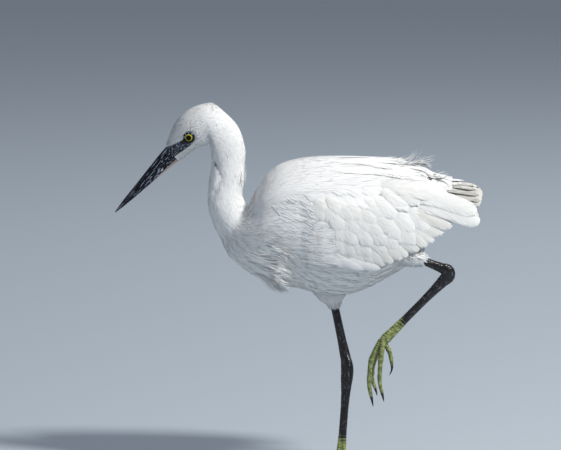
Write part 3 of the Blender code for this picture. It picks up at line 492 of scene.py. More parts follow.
def lock_faces(count, stations, sides):
    """The faces of closed locks: rings of vertices and one vertex at the tip."""
    size = (stations - 1) * sides + 1
    base = (np.arange(count) * size)[:, None, None]
    i = (np.arange(stations - 2) * sides)[None, :, None]
    k = np.arange(sides)[None, None, :]
    after = (k + 1) % sides
    a = base + i + k
    b = base + i + after
    quads = np.stack((a, a + sides, b + sides, b), axis=-1).reshape(-1, 4)
    last = base[:, :, 0] + (stations - 2) * sides
    point = np.broadcast_to(base[:, :, 0] + size - 1, (count, sides))
    tips = np.stack((last + k[0], point, last + after[0]), axis=-1).reshape(-1, 3)
    roots = base[:, 0, 0][:, None] + np.arange(sides)[None, :]
    return quads, tips, roots


def face_outwards(sections):
    """Turns each lock's rings so that its faces point out, and gives shading directions that follow its
    own plane, so that the plumage looks satiny."""
    sides = sections.shape[2]
    top = 3 if sides == 3 else (sides + 2) // 2

    def own_plane(rings):
        across = rings[:, :, top - 1] - rings[:, :, 0]
        across[:, -1] = across[:, -2]
        along = np.gradient(rings.mean(axis=2), axis=1)
        return unit(across), unit(np.cross(along, across))

    across, up = own_plane(sections)
    middle = sections[:, :, (top - 1) // 2] - (sections[:, :, top - 1] + sections[:, :, 0]) / 2
    inward = (up * middle).sum(axis=(1, 2)) < 0
    order = np.concatenate((np.arange(top)[::-1], np.arange(top, sides)[::-1]))
    sections = sections.copy()
    sections[inward] = sections[inward][:, :, order]
    across, up = own_plane(sections)
    place = np.linspace(-1, 1, top)
    place = np.concatenate((place, place[-2:0:-1])) if sides > 3 else place
    under = np.concatenate((np.ones(top), -np.ones(sides - top)))
    rounded = 0.3 if sides == 3 else 0.5
    return sections, unit(under[:, None] * up[:, :, None] + rounded * place[:, None] * across[:, :, None])


def feather_mesh(name, groups, material):
    """One mesh from groups of closed locks. A group is (sections, tone, crisp, roots on the unwrap, patch);
    crisp locks are shaded by their own form."""
    points, faces, sizes, tones_with_root_shade, corners, normals = [], [], [], [], [], []
    offset = 0
    for sections, tone, crisp, roots, patch in groups:
        count, stations, sides = sections.shape[:3]
        sections, soft = face_outwards(sections)
        middle = sections[:, -1].mean(axis=1, keepdims=True)
        rings = sections[:, :-1].reshape(count, -1, 3)
        points.append(np.concatenate((rings, middle), axis=1).reshape(-1, 3))
        tips = soft[:, -1, (sides // 2 if sides == 3 else sides // 4)][:, None]
        soft = np.concatenate((soft[:, :-1].reshape(count, -1, 3), tips), axis=1).reshape(-1, 3)
        normals.append(soft * (not crisp))
        for block in lock_faces(count, stations, sides):
            faces.append((block + offset).ravel())
            sizes.append(np.full(len(block), block.shape[1]))
        offset += count * ((stations - 1) * sides + 1)
        along = np.concatenate((np.repeat(np.linspace(0, 1, stations)[:-1], sides), [1.0]))
        around = np.concatenate((np.tile(np.abs(np.linspace(-1, 1, sides)), stations - 1), [0.5]))
        # Each lock gets lighter towards its tip: the darker root is painted shade, where the lock lies under its
        # neighbours.
        tones_with_root_shade.append(np.clip(tone[:, None] * 0.6 + 0.4 * np.sqrt(along)[None, :], 0, 1).ravel())
        corners.append(np.stack((
            roots[:, 0][:, None] + patch * (around[None, :] - 0.5),
            roots[:, 1][:, None] + patch * along[None, :],
        ), axis=-1).reshape(-1, 2))
    points = np.concatenate(points)
    faces = np.concatenate(faces).astype(np.int32)
    sizes = np.concatenate(sizes).astype(np.int32)
    mesh = bpy.data.meshes.new(name)
    mesh.vertices.add(len(points))
    mesh.vertices.foreach_set("co", points.astype(np.float32).ravel())
    mesh.loops.add(len(faces))
    mesh.loops.foreach_set("vertex_index", faces)
    mesh.polygons.add(len(sizes))
    mesh.polygons.foreach_set("loop_start", np.concatenate(([0], np.cumsum(sizes)[:-1])).astype(np.int32))
    mesh.polygons.foreach_set("loop_total", sizes)
    mesh.update(calc_edges=True)
    mesh.shade_smooth()
    mesh.normals_split_custom_set_from_vertices(np.concatenate(normals))
    add_attribute(mesh, "tone", np.concatenate(tones_with_root_shade))
    bake_map(mesh, np.clip(np.concatenate(corners), 0, 1))
    return mesh_object(name, mesh, material)


def body_unwrap(place, turn):
    return np.stack((np.mod(turn, 2 * math.pi) / (2 * math.pi), place / LAST_SECTION), axis=-1) * 0.98 + 0.01


def halton(count, base, start):
    """An even spread of numbers from 0 to 1."""
    index = np.arange(start, start + count)
    result = np.zeros(count)
    share = 1.0
    while index.max() > 0:
        share /= base
        result += share * (index % base)
        index //= base
    return result


def spread_roots(count, low, high, weight, start):
    """Evenly spread roots (place, turn) over a stretch of the body, denser where weight is higher."""
    places = np.linspace(low, high, 160)
    turns = np.linspace(-math.pi, math.pi, 97)
    grid_place, grid_turn = np.meshgrid(places, turns, indexing="ij")
    points = body_surface(grid_place, grid_turn)
    ahead = np.diff(points, axis=0)[:, :-1]
    around = np.diff(points, axis=1)[:-1]
    area = np.linalg.norm(np.cross(ahead, around), axis=-1)
    middle_place = (grid_place[1:, 1:] + grid_place[:-1, :-1]) / 2
    middle_turn = (grid_turn[1:, 1:] + grid_turn[:-1, :-1]) / 2
    area = area * weight(middle_place, middle_turn)
    row_sum = np.concatenate(([0], np.cumsum(area.sum(axis=1))))
    first = halton(count, 2, start)
    second = halton(count, 3, start)
    place = np.interp(first * row_sum[-1], row_sum, places)
    row = np.clip(np.searchsorted(places, place) - 1, 0, len(area) - 1)
    sums = np.concatenate((np.zeros((len(area), 1)), np.cumsum(area, axis=1)), axis=1)
    target = second * sums[row, -1]
    column = np.clip((sums[row] <= target[:, None]).sum(axis=1) - 1, 0, area.shape[1] - 1)
    share = (target - sums[row, column]) / np.maximum(area[row, column], 1e-15)
    turn = turns[column] + np.clip(share, 0, 1) * (turns[1] - turns[0])
    return place, turn


def waves(place, turn, seed):
    """A slow wave over the coat, the same on every run, by which locks gather into clumps."""
    rng = np.random.default_rng(seed)
    total = np.zeros_like(place)
    for scale in (1.0, 2.1, 3.7):
        a, b, c = rng.uniform(0.5, 1.0), rng.uniform(2.0, 4.0), rng.uniform(0, 6.28)
        total += np.sin(place * a * scale * 3 + np.sin(turn * b * scale + c) * 1.6 + c) / scale ** 0.5
    return total / 2.3


LOCK_FORM = ((0.0, 0.6), (0.35, 1.0), (0.72, 0.72), (1.0, 0.06))
EDGES = (-1.0, 0.0, 1.0)
# Stretches of the coat: name, first and last place, locks, length and half width in mm at both ends,
# height of the tips over the coat's form in mm, spread of the headings in degrees,
# number of soft ridges round the body and how strong they are.
COAT = (
    ("coat_head", 0.0, 7.0, 9500, (2.8, 7.5), (0.32, 0.5), 0.42, 6, 21, 0.22),
    ("coat_neck", 6.6, 14.0, 10500, (9.0, 14.0), (0.5, 0.62), 0.5, 4, 13, 0.16),
    ("coat_breast", 13.6, 18.0, 9500, (13.0, 18.0), (0.62, 0.75), 0.8, 6, 32, 0.4),
    ("coat_belly", 17.4, 28.0, 11500, (15.0, 18.0), (0.7, 0.8), 0.8, 6, 44, 0.4),
)
EYE_CENTRE = np.array((-113.1, 349.6)) * MM
# Inside the bend the places lie this close; there each lock is shaded by its own form.
CREASE_STEP = 3.7 * MM


def coat_weight(place, turn):
    """No locks on the lores, round the eyes, or on the top of the back, and few far under the folded wings."""
    points = body_surface(place, turn)
    weight = np.where(inside_outline(points[..., 0], points[..., 2], LORES) > -0.4 * MM, 0.0, 1.0)
    from_eye = np.hypot(points[..., 0] - EYE_CENTRE[0], points[..., 2] - EYE_CENTRE[1])
    weight = np.where((from_eye < 6.0 * MM) & (place < 4), 0.0, weight)
    under_wing = (points[..., 0] > 26 * MM) & (points[..., 2] > 232 * MM) & (points[..., 2] < 300 * MM)
    weight = np.where(under_wing & (place < 24), 0.12, weight)
    weight = np.where((points[..., 2] > 296 * MM) & (place > 18.6), 0.0, weight)
    return weight


rng = np.random.default_rng(7)
for number, (name, low, high, count, lengths, halves, rise, spread, ridges, strength) in enumerate(COAT):
    place, turn = spread_roots(count, low, high, coat_weight, 20 + 5000 * number)
    share = (place - low) / (high - low)
    length = (lengths[0] + (lengths[1] - lengths[0]) * share) * rng.uniform(0.75, 1.2, count) * MM
    half = (halves[0] + (halves[1] - halves[0]) * share) * rng.uniform(0.8, 1.25, count) * MM
    swirl = waves(place, turn, number + 3)
    ridge = turn * ridges + 2.2 * np.sin(place * 1.7 + turn * 3) + 1.5 * np.sin(place * 3.9 + turn * 7)
    strong = strength * (1 - 0.8 * smooth_step(0.5 + np.sin(turn)))
    heading = np.radians(rng.normal(0, spread * 0.6, count) + swirl * spread * 1.8 + 12 * strong * np.cos(ridge))
    clump = rng.normal(0, 0.12, count) + 0.25 * swirl + strong * np.sin(ridge)
    tips = rise * (1 + clump) * (1 - 0.55 * smooth_step(0.2 + np.sin(turn)) * (place > 15)) * MM
    lifts = np.stack((np.full(count, -0.9 * MM), tips * 0.4, tips * 0.85, tips * rng.uniform(0.7, 1.2, count)), axis=1)
    sections = grow(
        body_bed, place, turn, heading, length, half, LOCK_FORM, lifts, EDGES, 0.3 * MM,
        bend=np.radians(rng.normal(0, 10, count)),
    )
    tone = rng.uniform(0, 1, count)
    spots = body_unwrap(place, turn)
    step = np.linalg.norm(body_surface(place + 0.2, turn) - body_surface(place - 0.2, turn), axis=-1)
    creased = (step < CREASE_STEP) & (place > 12.4)
    parts = [(sections[~creased], tone[~creased], False, spots[~creased], 0.003)]
    if creased.any():
        parts.append((sections[creased], tone[creased], True, spots[creased], 0.003))
    coat = feather_mesh(name, parts, white_plumage)
    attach(coat, "root")

# Two small tufts stand off: one behind the crown and one low on the nape.
count = 70
crown = np.arange(count) < 40
place = np.where(crown, 4.6, 9.2) + rng.normal(0, 0.25, count)
turn = math.pi / 2 + rng.normal(0, 0.5, count)
tips = np.where(crown, 1.5, 2.2) * rng.uniform(0.4, 1.2, count) * MM
sections = grow(
    body_bed, place, turn, np.radians(rng.normal(0, 9, count)), np.where(crown, 9, 12) * rng.uniform(0.7, 1.1, count) * MM,
    rng.uniform(0.4, 0.6, count) * MM, LOCK_FORM,
    np.stack((np.full(count, -0.5 * MM), tips * 0.3, tips * 0.8, tips * 1.15), axis=1), EDGES, 0.3 * MM,
)
tufts = feather_mesh(
    "head_tufts", [(sections, rng.uniform(0.3, 1, count), False, body_unwrap(place, turn), 0.003)], white_plumage,
)
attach(tufts, "root")


# Folded wings: rows of broad, soft, white feathers laid like tiles, the small coverts over the large
# ones and those over the flight feathers, whose tips make the wing's hanging edge. Each is a thin
# cambered vane on a shaft, under loose barbs that fray past its margin.
def frames_on_bed(bed, u, v, heading, length, bend, shares, lifts):
    """Gives points of each feather by share of its length, distance aside and height over a bed."""
    shares = np.asarray(shares, float)
    us, vs, ways, scales = lay_out(bed, u, v, heading, length, shares, bend)
    us, vs, ways = (np.stack(values, axis=1) for values in (us, vs, ways))
    per_u = np.maximum(np.stack([scale[0] for scale in scales], axis=1), MM)
    per_v = np.maximum(np.stack([scale[1] for scale in scales], axis=1), MM)
    rows = np.arange(len(us))

    def at(share, aside, lift):
        j = np.clip(np.searchsorted(shares, share) - 1, 0, len(shares) - 2)
        t = (share - shares[j]) / (shares[j + 1] - shares[j])
        i = rows.reshape((-1,) + (1,) * (share.ndim - 1))

        def between(values):
            return values[i, j] * (1 - t) + values[i, j + 1] * t

        way = between(ways)
        return bed(
            between(us) - aside * np.sin(way) / between(per_u),
            between(vs) + aside * np.cos(way) / between(per_v),
            between(lifts) + lift,
        )

    return at


def vanes(at, half, outline, thick, camber, tilt, rng, sides=5):
    """The solid vanes of feathers: rings of vertices at stations from the root to the tip."""
    count = len(half)
    across = np.linspace(-1, 1, sides)
    ring = np.concatenate((across, across[-2:0:-1]))
    upper = np.concatenate((np.ones(sides), -np.ones(sides - 2)))
    shares = outline[:, 0]
    width = outline[:, 1][None, :, None] * half[:, None, None]
    ragged = 1 + rng.normal(0, 0.035, (count, len(shares), len(ring))) * np.abs(ring)
    aside = width * ring * ragged
    lift = camber * (1 - ring ** 2) * width + tilt * aside
    lift = lift + upper * thick / 2 * (1 - np.abs(ring) ** 1.5)
    share = np.broadcast_to(shares[None, :, None], aside.shape)
    return at(share, aside, lift)


def barbs(at, length, half, outline, camber, tilt, number, width, overshoot, rng, lift=0.12 * MM, open_angle=30):
    """Loose barbs over the vanes, from the shaft out past the margin on both sides."""
    count = len(half)
    start = (np.arange(number)[None, :] + rng.uniform(0.1, 0.9, (count, number))) / number
    start = 0.02 + 0.95 * start
    side = np.where(np.arange(number) % 2 == 0, 1.0, -1.0)[None, :]
    angle = np.radians(open_angle - 0.55 * open_angle * start) * rng.uniform(0.8, 1.15, (count, number))
    reach = half[:, None] * np.ones((1, number))
    for _ in range(6):
        share = np.clip(start + reach * np.cos(angle) / length[:, None], 0, 1)
        margin = np.interp(share, outline[:, 0], outline[:, 1]) * half[:, None]
        reach = 0.5 * reach + 0.5 * np.maximum(margin, 0.3 * MM) / np.sin(angle)
    reach = reach + rng.uniform(0.2, 1.0, (count, number)) * overshoot
    to_tip = (1.0 - start) * length[:, None] + rng.uniform(-0.3, 0.5, (count, number)) * overshoot
    reach = np.clip(reach, 0.5 * MM, np.maximum(to_tip, 0.8 * MM) / np.cos(angle))
    stations = np.array([0.0, 0.45, 0.8, 1.0])
    sizes = np.array([0.7, 1.0, 0.75, 0.0])
    curve = rng.normal(0, 0.10, (count, number))[:, :, None]
    along = start[:, :, None] * length[:, None, None] + (reach * np.cos(angle))[:, :, None] * stations
    out = side[:, :, None] * (reach * np.sin(angle))[:, :, None] * (stations + curve * stations * (1 - stations))
    wide = width * rng.uniform(0.7, 1.3, (count, number))[:, :, None] * sizes
    ring = np.array([-1.0, 0.0, 1.0])
    across_way = np.stack((-np.sin(angle) * side, np.cos(angle) * np.ones_like(side)), axis=-1)
    along = along[..., None] + wide[..., None] * ring * across_way[:, :, None, None, 0]
    aside = out[..., None] + wide[..., None] * ring * across_way[:, :, None, None, 1]
    share = along / length[:, None, None, None]
    margin = np.maximum(np.interp(share, outline[:, 0], outline[:, 1]) * half[:, None, None, None], 0.5 * MM)
    inner = np.clip(np.abs(aside) / margin, 0, 1)
    height = camber * (1 - inner ** 2) * margin + tilt * aside + lift + 0.25 * width * (1 - np.abs(ring))
    height = height + (rng.uniform(0, 1, (count, number))[:, :, None] * stations)[..., None] * 0.18 * MM
    shape = share.shape
    flat = (shape[0], -1)
    points = at(share.reshape(flat), aside.reshape(flat), height.reshape(flat))
    return points.reshape(shape[0] * shape[1], shape[2], shape[3], 3)


def shafts(at, length, outline, half, camber, width, reach):
    """The shaft along the middle of each vane, a thin ridge."""
    count = len(length)
    shares = np.array([0.0, 0.3, 0.6, 0.85, 1.0]) * reach
    sizes = np.array([1.0, 0.9, 0.7, 0.45, 0.0]) * width
    ring = np.array([-1.0, 0.0, 1.0])
    margin = np.interp(shares, outline[:, 0], outline[:, 1])[None, :, None] * half[:, None, None]
    aside = np.broadcast_to(sizes[:, None] * ring, (count, 5, 3))
    lift = camber * margin + 0.1 * MM + sizes[:, None] * (1 - np.abs(ring)) * 0.9
    return at(np.broadcast_to(shares[None, :, None], aside.shape), aside, lift)


TORSO_X = (BODY[15:, 0] + BODY[15:, 2]) / 2


def trunk_unwrap(x, z, side):
    """The place on the skin's unwrap that lies under a point seen from the side."""
    place = np.interp(x, TORSO_X, np.arange(15, LAST_SECTION + 1))
    rows = body_section(place)
    top = np.clip((z - rows[..., 3]) / np.maximum(rows[..., 1] - rows[..., 3], MM), 0, 1)
    turn = (top - 0.5) * math.pi
    return body_unwrap(place, turn if side > 0 else math.pi - turn)


WING_HALF = np.array([
    (-10, 46.5), (5, 48), (12, 48.3), (24, 48.5), (38, 48.1), (54, 46.8), (72, 44.2), (90, 41), (108, 37), (124, 33),
    (138, 28.5), (150, 25), (188, 16),
]) * MM


def wing_width(x, z):
    """Half the width over the folded wings under their feathers, by x and z in side view."""
    level = 265 * MM
    reach = np.where(z < level, 82 * MM, 70 * MM)
    round_off = np.sqrt(np.maximum(1 - ((z - level) / reach) ** 2, 0.05))
    return np.interp(x, WING_HALF[:, 0], WING_HALF[:, 1]) * round_off


def wing_bed(side):
    def bed(x, z, lift):
        emerge = 0.3 + 0.7 * smooth_step((x + 4 * MM) / (36 * MM))
        return np.stack((x, side * (wing_width(x, z) + lift * emerge), z), axis=-1)
    return bed


# The wing's lower edge in side view, in millimetres, from the bend of the wing to the longest feather.
WING_EDGE = np.array([
    (12, 246), (20, 236), (30, 228), (40, 222.5), (54, 218.5), (66, 217), (82, 217.5), (95, 220.5),
    (120, 231.5), (140, 243), (154, 254), (166, 260), (176, 262),
])
# Rows of feathers: number, tips from x to x, height of the tips over the edge, slope in degrees,
# length, half width, height over the bed, fray of the margins; each pair is for the first and the last feather.
WING_ROWS = (
    ("flight", 15, (28, 162), (0, 0), (66, 34), (46, 76), (8.4, 8.8), 1.3, 1.5),
    ("greater", 9, (40, 142), (8, 13), (66, 40), (40, 50), (9.0, 9.6), 2.1, 1.2),
    ("median", 6, (38, 126), (28, 20), (62, 44), (32, 42), (9.8, 10.0), 2.9, 0.7),
    ("lesser", 7, (20, 106), (40, 34), (58, 42), (26, 32), (8.6, 9.2), 3.5, 0.7),
    ("small", 5, (26, 62), (49, 50), (52, 46), (20, 24), (7.0, 7.4), 3.6, 1.0),
    ("upper", 6, (66, 130), (50, 47), (44, 34), (30, 36), (8.4, 8.8), 3.7, 0.9),
)
BROAD_VANE = np.array([
    (0, 0.45), (0.12, 0.75), (0.3, 0.98), (0.55, 1.0), (0.74, 1.0), (0.85, 0.9), (0.92, 0.72), (0.97, 0.46), (1.0, 0.15),
])
# The darker, warmer dark ends of these two are painted shade, towards each feather's root and on the low-toned feathers
# that lie underneath.
flight_plumage = plumage_material("flight_plumage", (0.88, 0.875, 0.85), (0.68, 0.665, 0.62), 0.55)
wing_plumage = plumage_material("wing_plumage", (0.89, 0.885, 0.87), (0.70, 0.69, 0.655), 0.58)
for side, wing_name in ((-1, "left"), (1, "right")):
    bed = wing_bed(side)
    rng = np.random.default_rng(31 if side < 0 else 32)
    for row, (kind, count, tips, heights, slopes, lengths, halves, level, fray) in enumerate(WING_ROWS):
        share = (np.arange(count) + 0.5) / count
        tip_x = tips[0] + (tips[1] - tips[0]) * share + rng.normal(0, 1.0 if row == 0 else 2.0, count)
        tip_z = np.interp(tip_x, WING_EDGE[:, 0], WING_EDGE[:, 1]) + heights[0] + (heights[1] - heights[0]) * share
        tip_z = tip_z + rng.normal(0, 2.2, count) * (row > 0)
        slope = np.radians(slopes[0] + (slopes[1] - slopes[0]) * share + rng.normal(0, 3.0, count))
        length = (lengths[0] + (lengths[1] - lengths[0]) * share) * rng.uniform(0.95, 1.05, count) * MM
        half = (halves[0] + (halves[1] - halves[0]) * share) * rng.uniform(0.94, 1.06, count) * MM
        bend = np.radians(rng.normal(-8, 2.5, count))
        heading = -slope - bend * 0.5
        root_x = tip_x * MM - length * np.cos(slope)
        root_z = tip_z * MM + length * np.sin(slope)
        shares = np.linspace(0, 1, 7)
        own = rng.normal(0, 0.12, count)[:, None]
        lifts = (level - 0.7 + 0.9 * np.sin(shares * 2.6)[None, :] + own) * MM
        lifts[:, 0] -= 0.8 * MM
        at = frames_on_bed(bed, root_x, root_z, heading, length, bend, shares, lifts)
        camber = 0.13
        tilt = -0.035
        vane = vanes(at, half * 0.96, BROAD_VANE, 0.4 * MM, camber, tilt, rng)
        number = int(50 + length.mean() / MM * 1.6)
        loose = barbs(at, length, half, BROAD_VANE, camber, tilt, number, 0.5 * MM, fray * MM, rng, lift=0.05 * MM)
        ridge = shafts(at, length, BROAD_VANE, half, camber, 0.25 * MM, 0.9)
        roots = trunk_unwrap(root_x, root_z, side)
        tone = rng.uniform(0.3, 0.9, count)
        loose_tone = np.clip(np.repeat(tone, number) + rng.normal(0, 0.3, count * number), 0, 1)
        piece = feather_mesh(
            "wing_" + kind + "_" + wing_name,
            [
                (vane, tone, False, roots, 0.003),
                (loose, loose_tone, False, np.repeat(roots, number, axis=0) + rng.normal(0, 0.004, (count * number, 2)), 0.003),
                (ridge, np.full(count, 0.9), False, roots, 0.003),
            ],
            flight_plumage if kind == "flight" else wing_plumage,
        )
        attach(piece, "root")
        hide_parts("wing_" + wing_name)


# The bend of each wing: narrow, bright feathers that follow its front and lower edge.
WING_MARGIN = (
    ((-3, 268), (20, 239), 4.6, 2.4), ((4, 259), (34, 227.5), 4.8, 2.7), ((12, 250), (50, 220.5), 5.0, 3.0),
    ((24, 240), (68, 217.5), 5.0, 3.2), ((40, 232), (84, 218), 4.6, 3.0),
)
for side, wing_name in ((-1, "left"), (1, "right")):
    rng = np.random.default_rng(35 if side < 0 else 36)
    first, last = (np.array([row[k] for row in WING_MARGIN], float) * MM for k in (0, 1))
    half, level = (np.array([row[k] for row in WING_MARGIN]) for k in (2, 3))
    half = half * MM
    run = last - first
    length = np.hypot(run[:, 0], run[:, 1]) * 1.02
    bend = np.radians(np.full(len(length), 24.0))
    shares = np.linspace(0, 1, 7)
    lifts = (level[:, None] - 1.8 + 2.1 * np.sin(shares * 2.2)[None, :]) * MM
    at = frames_on_bed(
        wing_bed(side), first[:, 0], first[:, 1], np.arctan2(run[:, 1], run[:, 0]) - bend * 0.5, length, bend, shares, lifts,
    )
    vane = vanes(at, half * 0.95, BROAD_VANE, 0.4 * MM, 0.10, 0.0, rng)
    number = 80
    loose = barbs(at, length, half, BROAD_VANE, 0.10, 0.0, number, 0.45 * MM, 1.2 * MM, rng, lift=0.05 * MM)
    roots = trunk_unwrap(first[:, 0], first[:, 1], side)
    tone = rng.uniform(0.8, 1, len(length))
    loose_tone = np.clip(np.repeat(tone, number) + rng.normal(0, 0.2, len(loose)), 0, 1)
    loose_roots = np.repeat(roots, number, axis=0) + rng.normal(0, 0.004, (len(loose), 2))
    piece = feather_mesh(
        "wing_margin_" + wing_name, [(vane, tone, False, roots, 0.003), (loose, loose_tone, False, loose_roots, 0.003)],
        white_plumage,
    )
    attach(piece, "root")
    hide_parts("wing_" + wing_name)


# Tertials: the long, broad inner feathers of each wing, which close over the flight feathers towards the tail.
# Root, tip, half width, height over the wing, tone, turn over the length in degrees.
# The two lowest tertials lie under the others and get tone 0, the darkest: painted shade.
TERTIALS = (
    ((92, 274), (145, 250), 6.6, 1.9, 0.0, -14), ((96, 280), (157, 257), 7.0, 2.5, 0.0, -18),
    ((98, 285), (187.5, 258), 9.6, 3.3, 1.0, -30), ((98, 293), (184, 268), 9.6, 4.2, 0.95, -32),
    ((72, 303), (153, 288), 9.6, 4.6, 0.95, -18),
)
ROUND_VANE = np.array([
    (0, 0.4), (0.15, 0.7), (0.35, 0.92), (0.6, 1.0), (0.8, 1.0), (0.89, 0.92), (0.95, 0.74), (0.985, 0.46), (1.0, 0.15),
])
for side, wing_name in ((-1, "left"), (1, "right")):
    rng = np.random.default_rng(41 if side < 0 else 42)
    bed = wing_bed(side)
    first = np.array([row[0] for row in TERTIALS], float) * MM
    last = np.array([row[1] for row in TERTIALS], float) * MM
    half = np.array([row[2] for row in TERTIALS]) * MM
    level = np.array([row[3] for row in TERTIALS])
    run = last - first
    length = np.hypot(run[:, 0], run[:, 1]) * 1.01
    bend = np.radians(np.array([row[5] for row in TERTIALS], float))
    heading = np.arctan2(run[:, 1], run[:, 0]) - bend * 0.5
    shares = np.linspace(0, 1, 9)
    sunk = -5.0 * (1 - smooth_step(shares / 0.4))[None, :]
    lifts = (level[:, None] - 0.9 + 1.1 * np.sin(shares * 2.6)[None, :] + sunk) * MM
    at = frames_on_bed(bed, first[:, 0], first[:, 1], heading, length, bend, shares, lifts)
    vane = vanes(at, half * 0.97, ROUND_VANE, 0.5 * MM, 0.10, -0.02, rng, sides=7)
    number = 170
    loose = barbs(at, length, half, ROUND_VANE, 0.10, -0.02, number, 0.5 * MM, 0.5 * MM, rng, lift=0.04 * MM)
    ridge = shafts(at, length, ROUND_VANE, half, 0.10, 0.3 * MM, 0.92)
    roots = trunk_unwrap(first[:, 0], first[:, 1], side)
    tone = np.array([row[4] for row in TERTIALS])
    loose_tone = np.clip(np.repeat(tone, number) + rng.normal(0, 0.15, len(tone) * number), 0, 1)
    piece = feather_mesh(
        "tertials_" + wing_name,
        [
            (vane, tone, False, roots, 0.003),
            (loose, loose_tone, False, np.repeat(roots, number, axis=0) + rng.normal(0, 0.006, (len(loose), 2)), 0.003),
            (ridge, np.full(len(tone), 0.9), False, roots, 0.003),
        ],
        flight_plumage,
    )
    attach(piece, "root")
    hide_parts("wing_" + wing_name)


# Scapulars: long, loose, narrow-tipped feathers that fall from the shoulder over the top of each wing.
def flank_bed(side):
    """The body's side by x and z in side view."""
    def bed(x, z, lift):
        place = np.interp(x, TORSO_X, np.arange(15, LAST_SECTION + 1))
        rows = body_section(place)
        height = rows[..., 1] - rows[..., 3]
        level = rows[..., 3] + height * rows[..., 5]
        rise = np.where(z > level, rows[..., 1] - level, level - rows[..., 3])
        turn = np.arcsin(np.clip((z - level) / np.maximum(rise, MM), -0.96, 0.96))
        turn = turn if side > 0 else math.pi - turn
        return body_bed(place, turn, lift)
    return bed


def shoulder_bed(side):
    """The outer form of body and folded wing together, by x and z in side view."""
    under = flank_bed(side)

    def bed(x, z, lift):
        body = np.abs(under(x, z, np.zeros_like(x))[..., 1])
        over = 3.4 * MM * (0.3 + 0.7 * smooth_step((x + 4 * MM) / (36 * MM)))
        wing = wing_width(x, z) + over - 7 * MM * smooth_step((z - 278 * MM) / (28 * MM))
        wing = wing - 0.6 * np.maximum(8 * MM - x, 0)
        apart = np.abs(body - wing)
        blend = np.maximum(3 * MM - apart, 0) ** 2 / (12 * MM)
        return np.stack((x, side * (np.maximum(body, wing) + blend + lift), z), axis=-1)

    return bed


SCAPULARS = (
    ((-6, 303), (20, 288), 8.0, 0.4), ((4, 305), (31, 284), 8.2, 0.5), ((12, 307), (42, 280.5), 8.4, 0.6),
    ((20, 308), (52, 277.5), 8.6, 0.7), ((30, 309), (62, 275.5), 8.6, 0.7), ((40, 310), (73, 274), 8.6, 0.8),
    ((50, 311), (85, 272), 8.6, 0.8), ((60, 311.1), (97, 270.5), 8.6, 0.9), ((70, 312), (110, 273), 8.4, 1.0),
    ((82, 312.5), (122, 279), 8.0, 1.1), ((92, 313), (134, 286), 7.6, 1.2), ((100, 313), (145, 292), 7.0, 1.0),
    ((4, 310), (34, 295), 8.0, 1.0), ((18, 312), (50, 291), 8.4, 1.1), ((32, 313), (66, 288), 8.6, 1.2),
    ((46, 314), (82, 287), 8.6, 1.3), ((60, 314.5), (98, 288), 8.6, 1.3), ((74, 315), (114, 292), 8.4, 1.4),
    ((88, 315), (130, 299), 8.0, 1.4),
)
SOFT_VANE = np.array([
    (0, 0.5), (0.15, 0.85), (0.35, 1.0), (0.6, 1.0), (0.76, 0.9), (0.87, 0.7), (0.95, 0.42), (1.0, 0.1),
])
for side, wing_name in ((-1, "left"), (1, "right")):
    rng = np.random.default_rng(51 if side < 0 else 52)
    bed = shoulder_bed(side)
    first = np.array([row[0] for row in SCAPULARS], float) * MM
    last = np.array([row[1] for row in SCAPULARS], float) * MM
    half = np.array([row[2] for row in SCAPULARS]) * MM
    level = np.array([row[3] for row in SCAPULARS])
    run = last - first
    length = np.hypot(run[:, 0], run[:, 1]) * 1.04
    bend = np.radians(rng.normal(-12, 4, len(length)))
    heading = np.arctan2(run[:, 1], run[:, 0]) - bend * 0.5
    shares = np.linspace(0, 1, 7)
    lifts = (level[:, None] - 1.6 + 1.9 * np.sin(shares * 2.1)[None, :]) * MM
    at = frames_on_bed(bed, first[:, 0], first[:, 1], heading, length, bend, shares, lifts)
    vane = vanes(at, half * 0.9, SOFT_VANE, 0.4 * MM, 0.07, -0.03, rng)
    number = 190
    loose = barbs(
        at, length, half, SOFT_VANE, 0.07, -0.03, number, 0.45 * MM, 3.0 * MM, rng, lift=0.05 * MM, open_angle=20,
    )
    roots = trunk_unwrap(first[:, 0], first[:, 1], side)
    tone = rng.uniform(0.5, 1, len(length))
    loose_tone = np.clip(np.repeat(tone, number) + rng.normal(0, 0.3, len(loose)), 0, 1)
    piece = feather_mesh(
        "scapulars_" + wing_name,
        [
            (vane, tone, False, roots, 0.003),
            (loose, loose_tone, False, np.repeat(roots, number, axis=0) + rng.normal(0, 0.006, (len(loose), 2)), 0.003),
        ],
        white_plumage,
    )
    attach(piece, "root")
    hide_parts("mantle")


